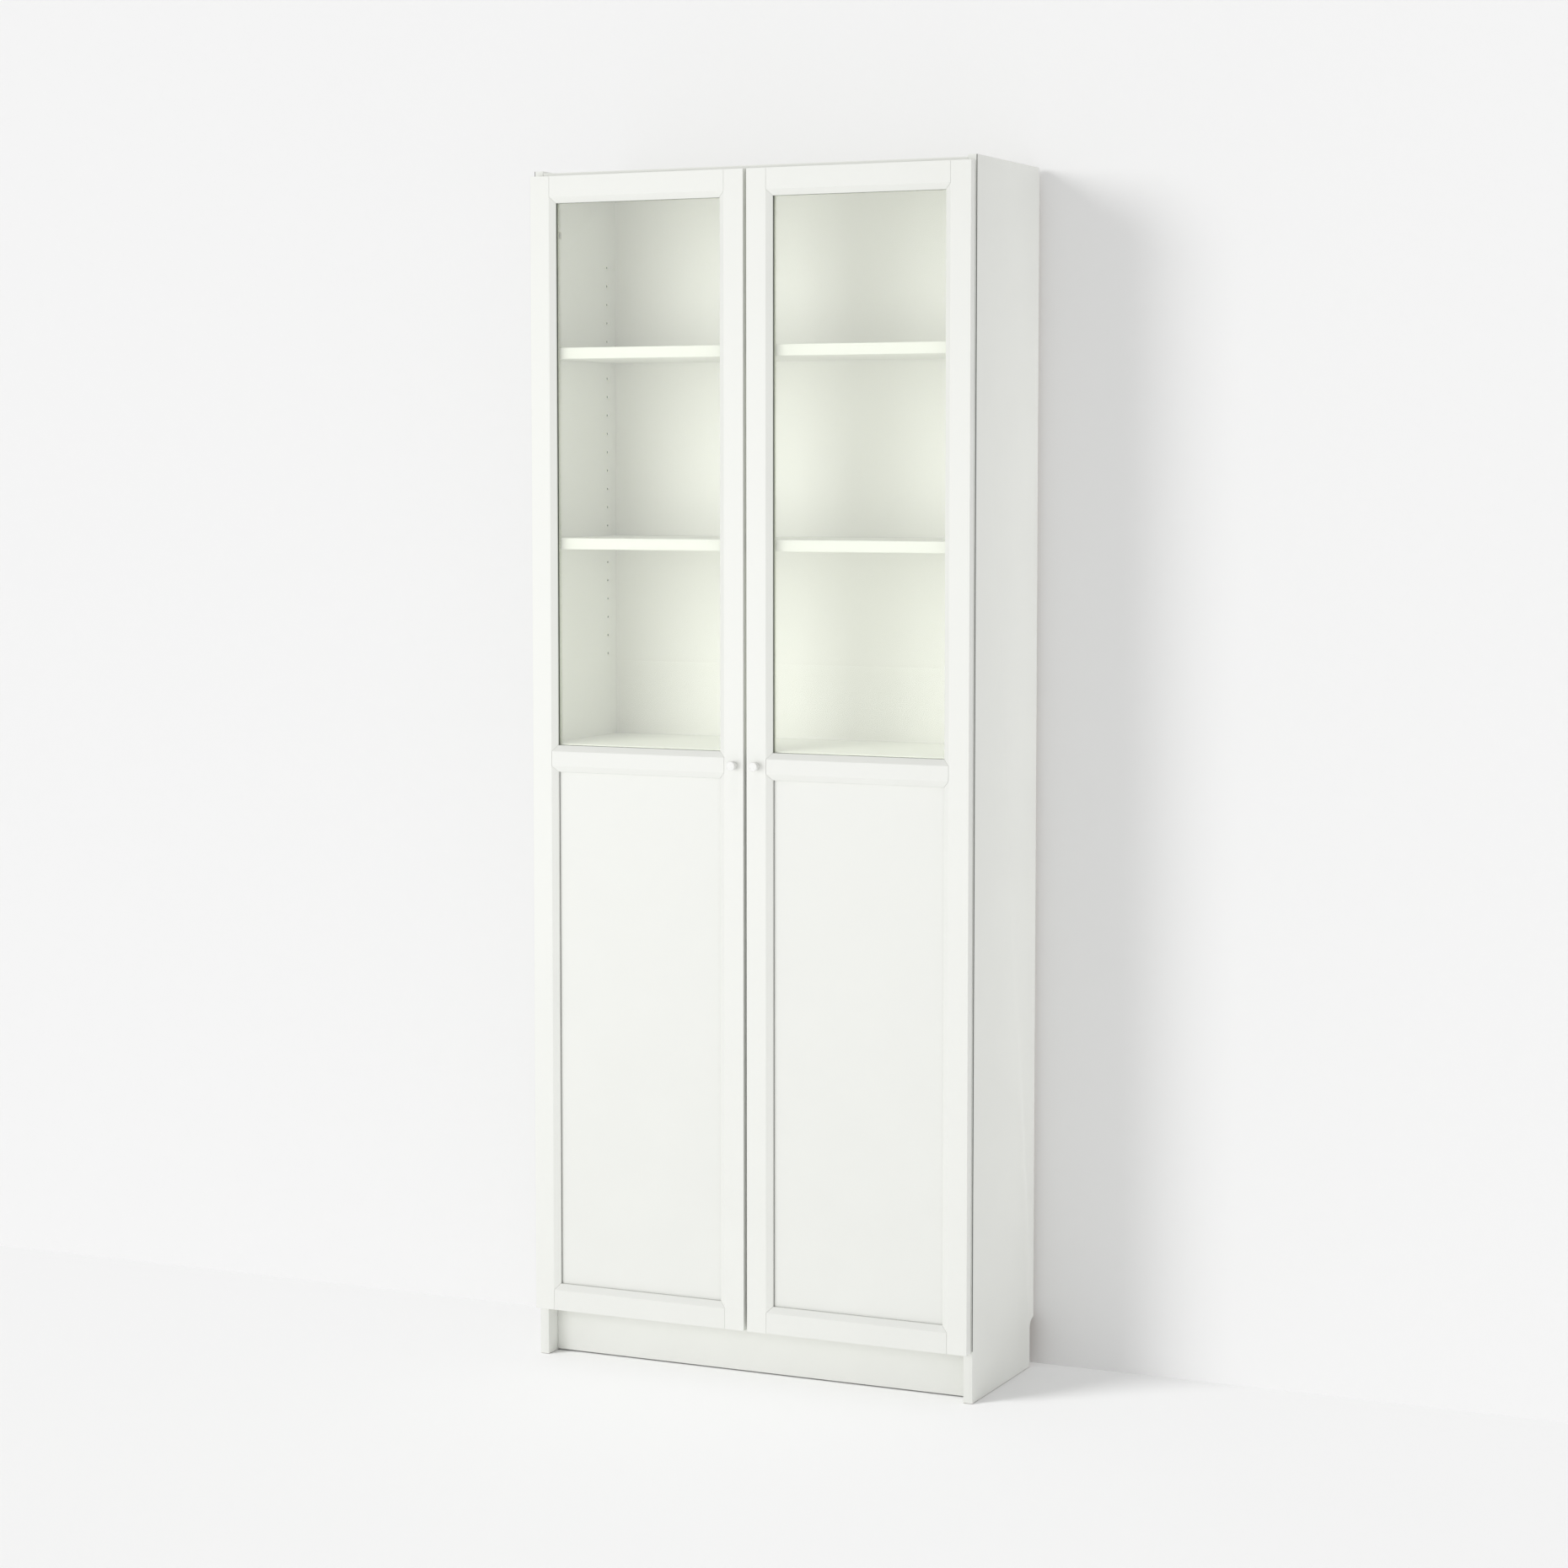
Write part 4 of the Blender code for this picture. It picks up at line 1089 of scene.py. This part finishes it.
hinge = {
    "cupRadius": 0.0175,
    "cupWall": 0.0008,
    "cupCentre": 0.0140,
    "cupEase": 0.0012,
    "rimEase": 0.0003,
    "seam": 0.0003,  # between parts that lie against each other
    "flange": 0.0008,
    "flangeRadius": 0.0195,
    "earRadius": 0.0045,
    "earReach": 0.024,
    "earOffset": 0.006,
    "lug": 0.0032,  # how thick the cup's two lugs are
    "pinRadius": 0.0010,
    "pinLength": 0.014,
    "pinEase": 0.0002,
    "boreClear": 0.00025,
    "knuckleRadius": 0.0022,
    "knuckleLength": 0.010,
    "knuckleClear": 0.0004,
    "armThick": 0.0018,
    "armHeight": 0.010,
    "armTail": 0.0475,
    "armFlange": 0.0013,
    "armBend": 0.0025,
    "armClear": 0.00045,  # from the door's swinging corner
    "armLead": 0.002,  # from the carcass face to the bend
    "armRise": 0.006,
    "tailEase": 0.0008,
    "heelEase": 0.001,
    "slotInset": 0.0096,
    "slotWidth": 0.0042,
    "slotLength": 0.0068,
    "doorGap": 0.002,  # between door and carcass
    "swingClear": 0.00035,
    "plateLine": 0.037,  # from the carcass face to the plate's screws
    "wing": 0.002,
    "wingEase": 0.0005,
    "ridgeLead": 0.014,
    "ridgeEase": 0.0006,
    "plateWidth": 0.016,
    "plateLength": 0.045,
    "screwHole": 0.0023,
    "screwSpacing": 0.032,
}
pivot = {joint["child"].split("_")[0]: Vector(joint["pos_m"]) for joint in frame["joints"]}
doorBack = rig.box("left_door_hinge_stile")[1].y
pivotDepth = doorBack - pivot["left"].y
pivotInset = pivot["left"].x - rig.box("left_door_hinge_stile")[0].x
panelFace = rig.box("left_side_panel")[1].x - pivot["left"].x
carcassFace = pivotDepth + hinge["doorGap"]
windowHalf = hinge["knuckleLength"] / 2 + hinge["seam"]
cupFloor = -(hinge["knuckleRadius"] + hinge["knuckleClear"])
cupRim = pivotDepth + hinge["seam"] + hinge["flange"]
neckX = math.hypot(pivotInset, pivotDepth) + hinge["armClear"] + hinge["armThick"] / 2
webX = panelFace + hinge["armHeight"] - hinge["armThick"] / 2
armEnd = carcassFace + hinge["armTail"]
bendStart = carcassFace + hinge["armLead"]
bendEnd = bendStart + hinge["armRise"]
wingTop = panelFace + hinge["seam"] + hinge["wing"]
flangeInside = hinge["knuckleLength"] / 2 - hinge["seam"]
earX = hinge["cupCentre"] + hinge["earOffset"]
boreRadius = hinge["pinRadius"] + hinge["boreClear"]
plateLine = carcassFace + hinge["plateLine"]
armSlots = {"front": bendEnd + hinge["slotInset"], "rear": armEnd - hinge["slotInset"]}


def cupMesh():
    seam, wall, ease = hinge["seam"], hinge["cupWall"], hinge["cupEase"]
    outer, inner = hinge["cupRadius"] - seam, hinge["cupRadius"] - seam - wall
    bottom = cupFloor - wall
    flangeLow = pivotDepth + seam
    rim, rimEase = hinge["flangeRadius"], hinge["rimEase"]
    profile = [(0, bottom), (outer - ease, bottom), *arc((outer - ease, bottom + ease), ease, -90, 0, 5)]
    profile += [(outer, flangeLow), (rim, flangeLow)]
    profile += [(rim, cupRim - rimEase), (rim - rimEase, cupRim), (0, cupRim)]
    tip = Matrix.Rotation(-math.pi / 2, 3, "X")  # the profile's height becomes +Y
    cup = moved(turned(profile, 72), tip, (hinge["cupCentre"], 0, 0))
    outline = capsule((earX, 0), 2 * (hinge["earReach"] + hinge["earRadius"]), 2 * hinge["earRadius"])
    ears = slab(outline, -cupRim, -flangeLow)
    cup = worked(cup, join(moved(ears, fromFront)))
    tall = 2 * cupRim
    cavityMiddle = (hinge["cupCentre"], cupFloor + tall / 2, 0)
    cavity = rods(inner, tall, [cavityMiddle], fromFront, 72)
    far = 2 * hinge["cupRadius"]
    for low, high in ((windowHalf, windowHalf + hinge["lug"]), (-windowHalf - hinge["lug"], -windowHalf)):
        lug = block((-far, -far, low), (hinge["knuckleRadius"] + seam, hinge["knuckleRadius"], high))
        cavity = worked(cavity, cut(lug))
    window = block((-far, cupFloor, -windowHalf), (0, far, windowHalf))
    clip = block((-far, pivotDepth, -far), (-(pivotInset / 2 - hinge["swingClear"]), far, far))
    bore = rods(boreRadius, hinge["pinLength"] + 2 * seam, [(0, 0, 0)], upright, 24)
    centres = [(earX, flangeLow, sign * hinge["earReach"]) for sign in (-1, 1)]
    holes = rods(hinge["earRadius"] / 2, 4 * hinge["flange"], centres, fromFront, 24)
    return smoothed(worked(cup, cut(cavity), cut(window), cut(clip), cut(bore), cut(holes)))


def bentPath(points, radius, steps=8):  # corners become curves
    path = [points[0]]
    for before, corner, after in zip(points, points[1:], points[2:]):
        start = Vector(corner).lerp(Vector(before), radius / math.dist(corner, before))
        end = Vector(corner).lerp(Vector(after), radius / math.dist(corner, after))
        for step in range(steps + 1):
            share = step / steps
            coming, going = start.lerp(Vector(corner), share), Vector(corner).lerp(end, share)
            path.append(tuple(coming.lerp(going, share)))
    path.append(points[-1])
    return path


def ribbon(path, thickness):  # the outline of a bent sheet
    sides = ([], [])
    for index, spot in enumerate(path):
        before, after = Vector(path[max(index - 1, 0)]), Vector(path[min(index + 1, len(path) - 1)])
        along = (after - before).normalized()
        for side, half in zip(sides, (thickness / 2, -thickness / 2)):
            side.append((spot[0] - half * along.y, spot[1] + half * along.x))
    return sides[0] + sides[1][::-1]


def armMesh():
    half = hinge["armThick"] / 2
    path = [(0, 0), (neckX, 0), (neckX, bendStart), (webX, bendEnd), (webX, armEnd)]
    wide = hinge["knuckleLength"] / 2
    arm = slab(ribbon(bentPath(path, hinge["armBend"]), hinge["armThick"]), -wide, wide)
    top, tail = webX + half, hinge["tailEase"]
    low, heel = wingTop + hinge["seam"], hinge["heelEase"]
    cheek = [(neckX - half, bendStart), (top, bendEnd), (top, armEnd - tail), (top - tail, armEnd)]
    cheek += [(low + heel, armEnd), (low, armEnd - heel), (low, bendEnd)]
    for sign in (-1, 1):
        ends = sorted((sign * flangeInside, sign * (flangeInside + hinge["armFlange"])))
        arm = worked(arm, join(slab(cheek, *ends)))
    knuckle = rods(hinge["knuckleRadius"], hinge["knuckleLength"], [(0, 0, 0)], upright, 32)
    bore = rods(boreRadius, 2 * hinge["knuckleLength"], [(0, 0, 0)], upright, 24)
    arm = worked(arm, join(knuckle), cut(bore))
    for back in reversed(armSlots.values()):
        slot = capsule((0, back), hinge["slotLength"], hinge["slotWidth"])
        outline = [(up, across) for across, up in slot]  # long along Y
        tool = moved(slab(outline, webX - 2 * half, webX + 2 * half), fromSide)
        arm = worked(arm, cut(tool))
    return smoothed(arm)


def plateMesh():
    seam = hinge["seam"]
    outline = capsule((plateLine, 0), hinge["plateLength"], hinge["plateWidth"])
    wing = moved(slab(outline, panelFace + seam, wingTop), fromSide)
    ridgeTop = webX - hinge["armThick"] / 2 - seam
    ridgeHalf = flangeInside - seam
    ridgeStart = carcassFace + hinge["ridgeLead"]
    ridge = block((panelFace + seam, ridgeStart, -ridgeHalf), (ridgeTop, armEnd - 2 * seam, ridgeHalf))
    ridge = worked(ridge, rounded(hinge["ridgeEase"], 50))
    centres = [(wingTop, plateLine, sign * hinge["screwSpacing"] / 2) for sign in (-1, 1)]
    holes = rods(hinge["screwHole"], 4 * hinge["wing"], centres, fromSide, 24)
    return smoothed(worked(wing, rounded(hinge["wingEase"], 50), join(ridge), cut(holes)))


def pinMesh():
    half, radius, ease = hinge["pinLength"] / 2, hinge["pinRadius"], hinge["pinEase"]
    profile = [(0, half), (radius - ease, half), (radius, half - ease)]
    profile += [(radius, -half + ease), (radius - ease, -half), (0, -half)]
    return smoothed(turned(profile, 24))


screw = {  # radius and height of the head, radius and length of the shank
    "cup": (0.0036, 0.0015, 0.0017, 0.006),
    "plate": (0.0036, 0.0016, 0.0018, 0.0018),
    "arm": (0.0031, 0.0013, 0.0017, 0.0019),
    "flat": 0.15,  # the arm screws' dome, as a share of the others'
    "crown": 0.8,  # shares of the head's height
    "rim": 0.2,
    "crossDeep": 0.55,
    "crossLong": 0.62,  # shares of the head's radius
    "crossWide": 0.16,
}


def screwMesh(kind, dome=1.0):  # the head's underside at 0, its top at +Z
    radius, height, shank, shankLength = screw[kind]
    crown = height * dome
    profile = [(0, height)]
    for share in (0.25, 0.5, 0.7, 0.85, 0.95):
        profile.append((radius * share, height - crown * share**4 * screw["crown"]))
    profile += [(radius, height * screw["rim"]), (radius, 0)]
    profile += [(shank, 0), (shank, -shankLength + shank / 2), (0, -shankLength)]
    head = turned(profile, 32)
    long, wide = radius * screw["crossLong"], radius * screw["crossWide"]
    deep = height * (1 - screw["crossDeep"])
    slots = [cut(block((-x, -y, deep), (x, y, 2 * height))) for x, y in ((long, wide), (wide, long))]
    return smoothed(worked(head, *slots))


def mirrored(mesh):
    copy = mesh.copy()
    copy.transform(Matrix.Scale(-1, 4, (1, 0, 0)))
    copy.flip_normals()
    return copy


def makeHinges():
    patterns = {"cup": cupMesh(), "arm": armMesh(), "plate": plateMesh(), "pin": pinMesh()}
    cupScrew = screwMesh("cup")
    plateScrew = screwMesh("plate")
    armScrew = screwMesh("arm", screw["flat"])
    for side, sign in inward.items():
        toX = Matrix.Rotation(sign * math.pi / 2, 4, "Y")  # a screw whose head faces the cabinet's middle
        toY = Matrix.Rotation(-math.pi / 2, 4, "X")  # a screw whose head faces back
        screws = {
            "cup_screw": (cupScrew, f"{side}_door", toY, earX, cupRim, hinge["earReach"]),
            "plate_screw": (plateScrew, "carcass", toX, wingTop, plateLine, hinge["screwSpacing"] / 2),
        }
        for number in (1, 2, 3):
            height = sum(corner.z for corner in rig.box(f"{side}_hinge_pin_{number}")) / 2
            centre = Vector((pivot[side].x, pivot[side].y, height))
            for what, pattern in patterns.items():
                node = f"{side}_hinge_{what}_{number}"
                mesh = pattern if sign > 0 else mirrored(pattern)
                body = "carcass" if what in ("arm", "plate") else f"{side}_door"
                finish = finishes["zinc" if what == "pin" else "nickel"]
                slot = "pin_steel" if what == "pin" else "hinge_steel"
                name = f"{side}_{what}_{number}"
                piece(name, mesh.copy(), finish, body, slot, [node], Matrix.Translation(centre))
            for what, (mesh, body, turn, across, back, apart) in screws.items():
                for end, up in (("upper", 1), ("lower", -1)):
                    spot = centre + Vector((sign * across, back, up * apart))
                    place = Matrix.Translation(spot) @ turn
                    name = f"{side}_{what}_{number}_{end}"
                    piece(name, mesh.copy(), finishes["zinc"], body, "hinge_steel", place=place)
            for end, back in armSlots.items():
                spot = centre + Vector((sign * (webX + hinge["armThick"] / 2), back, 0))
                place = Matrix.Translation(spot) @ toX
                name = f"{side}_arm_screw_{number}_{end}"
                piece(name, armScrew.copy(), finishes["zinc"], "carcass", "hinge_steel", place=place)


makeHinges()
print("hinges made")

makeLight()
print("lamps and stage made")

view = bpy.context.scene.view_settings
view.view_transform = "Standard"

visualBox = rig.bounds()
with open("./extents.json", "w") as file:
    boxes = {"cad": cadBox, "visual": visualBox}
    json.dump({name: [[float(value) for value in corner] for corner in box] for name, box in boxes.items()}, file)
print("sizes written")
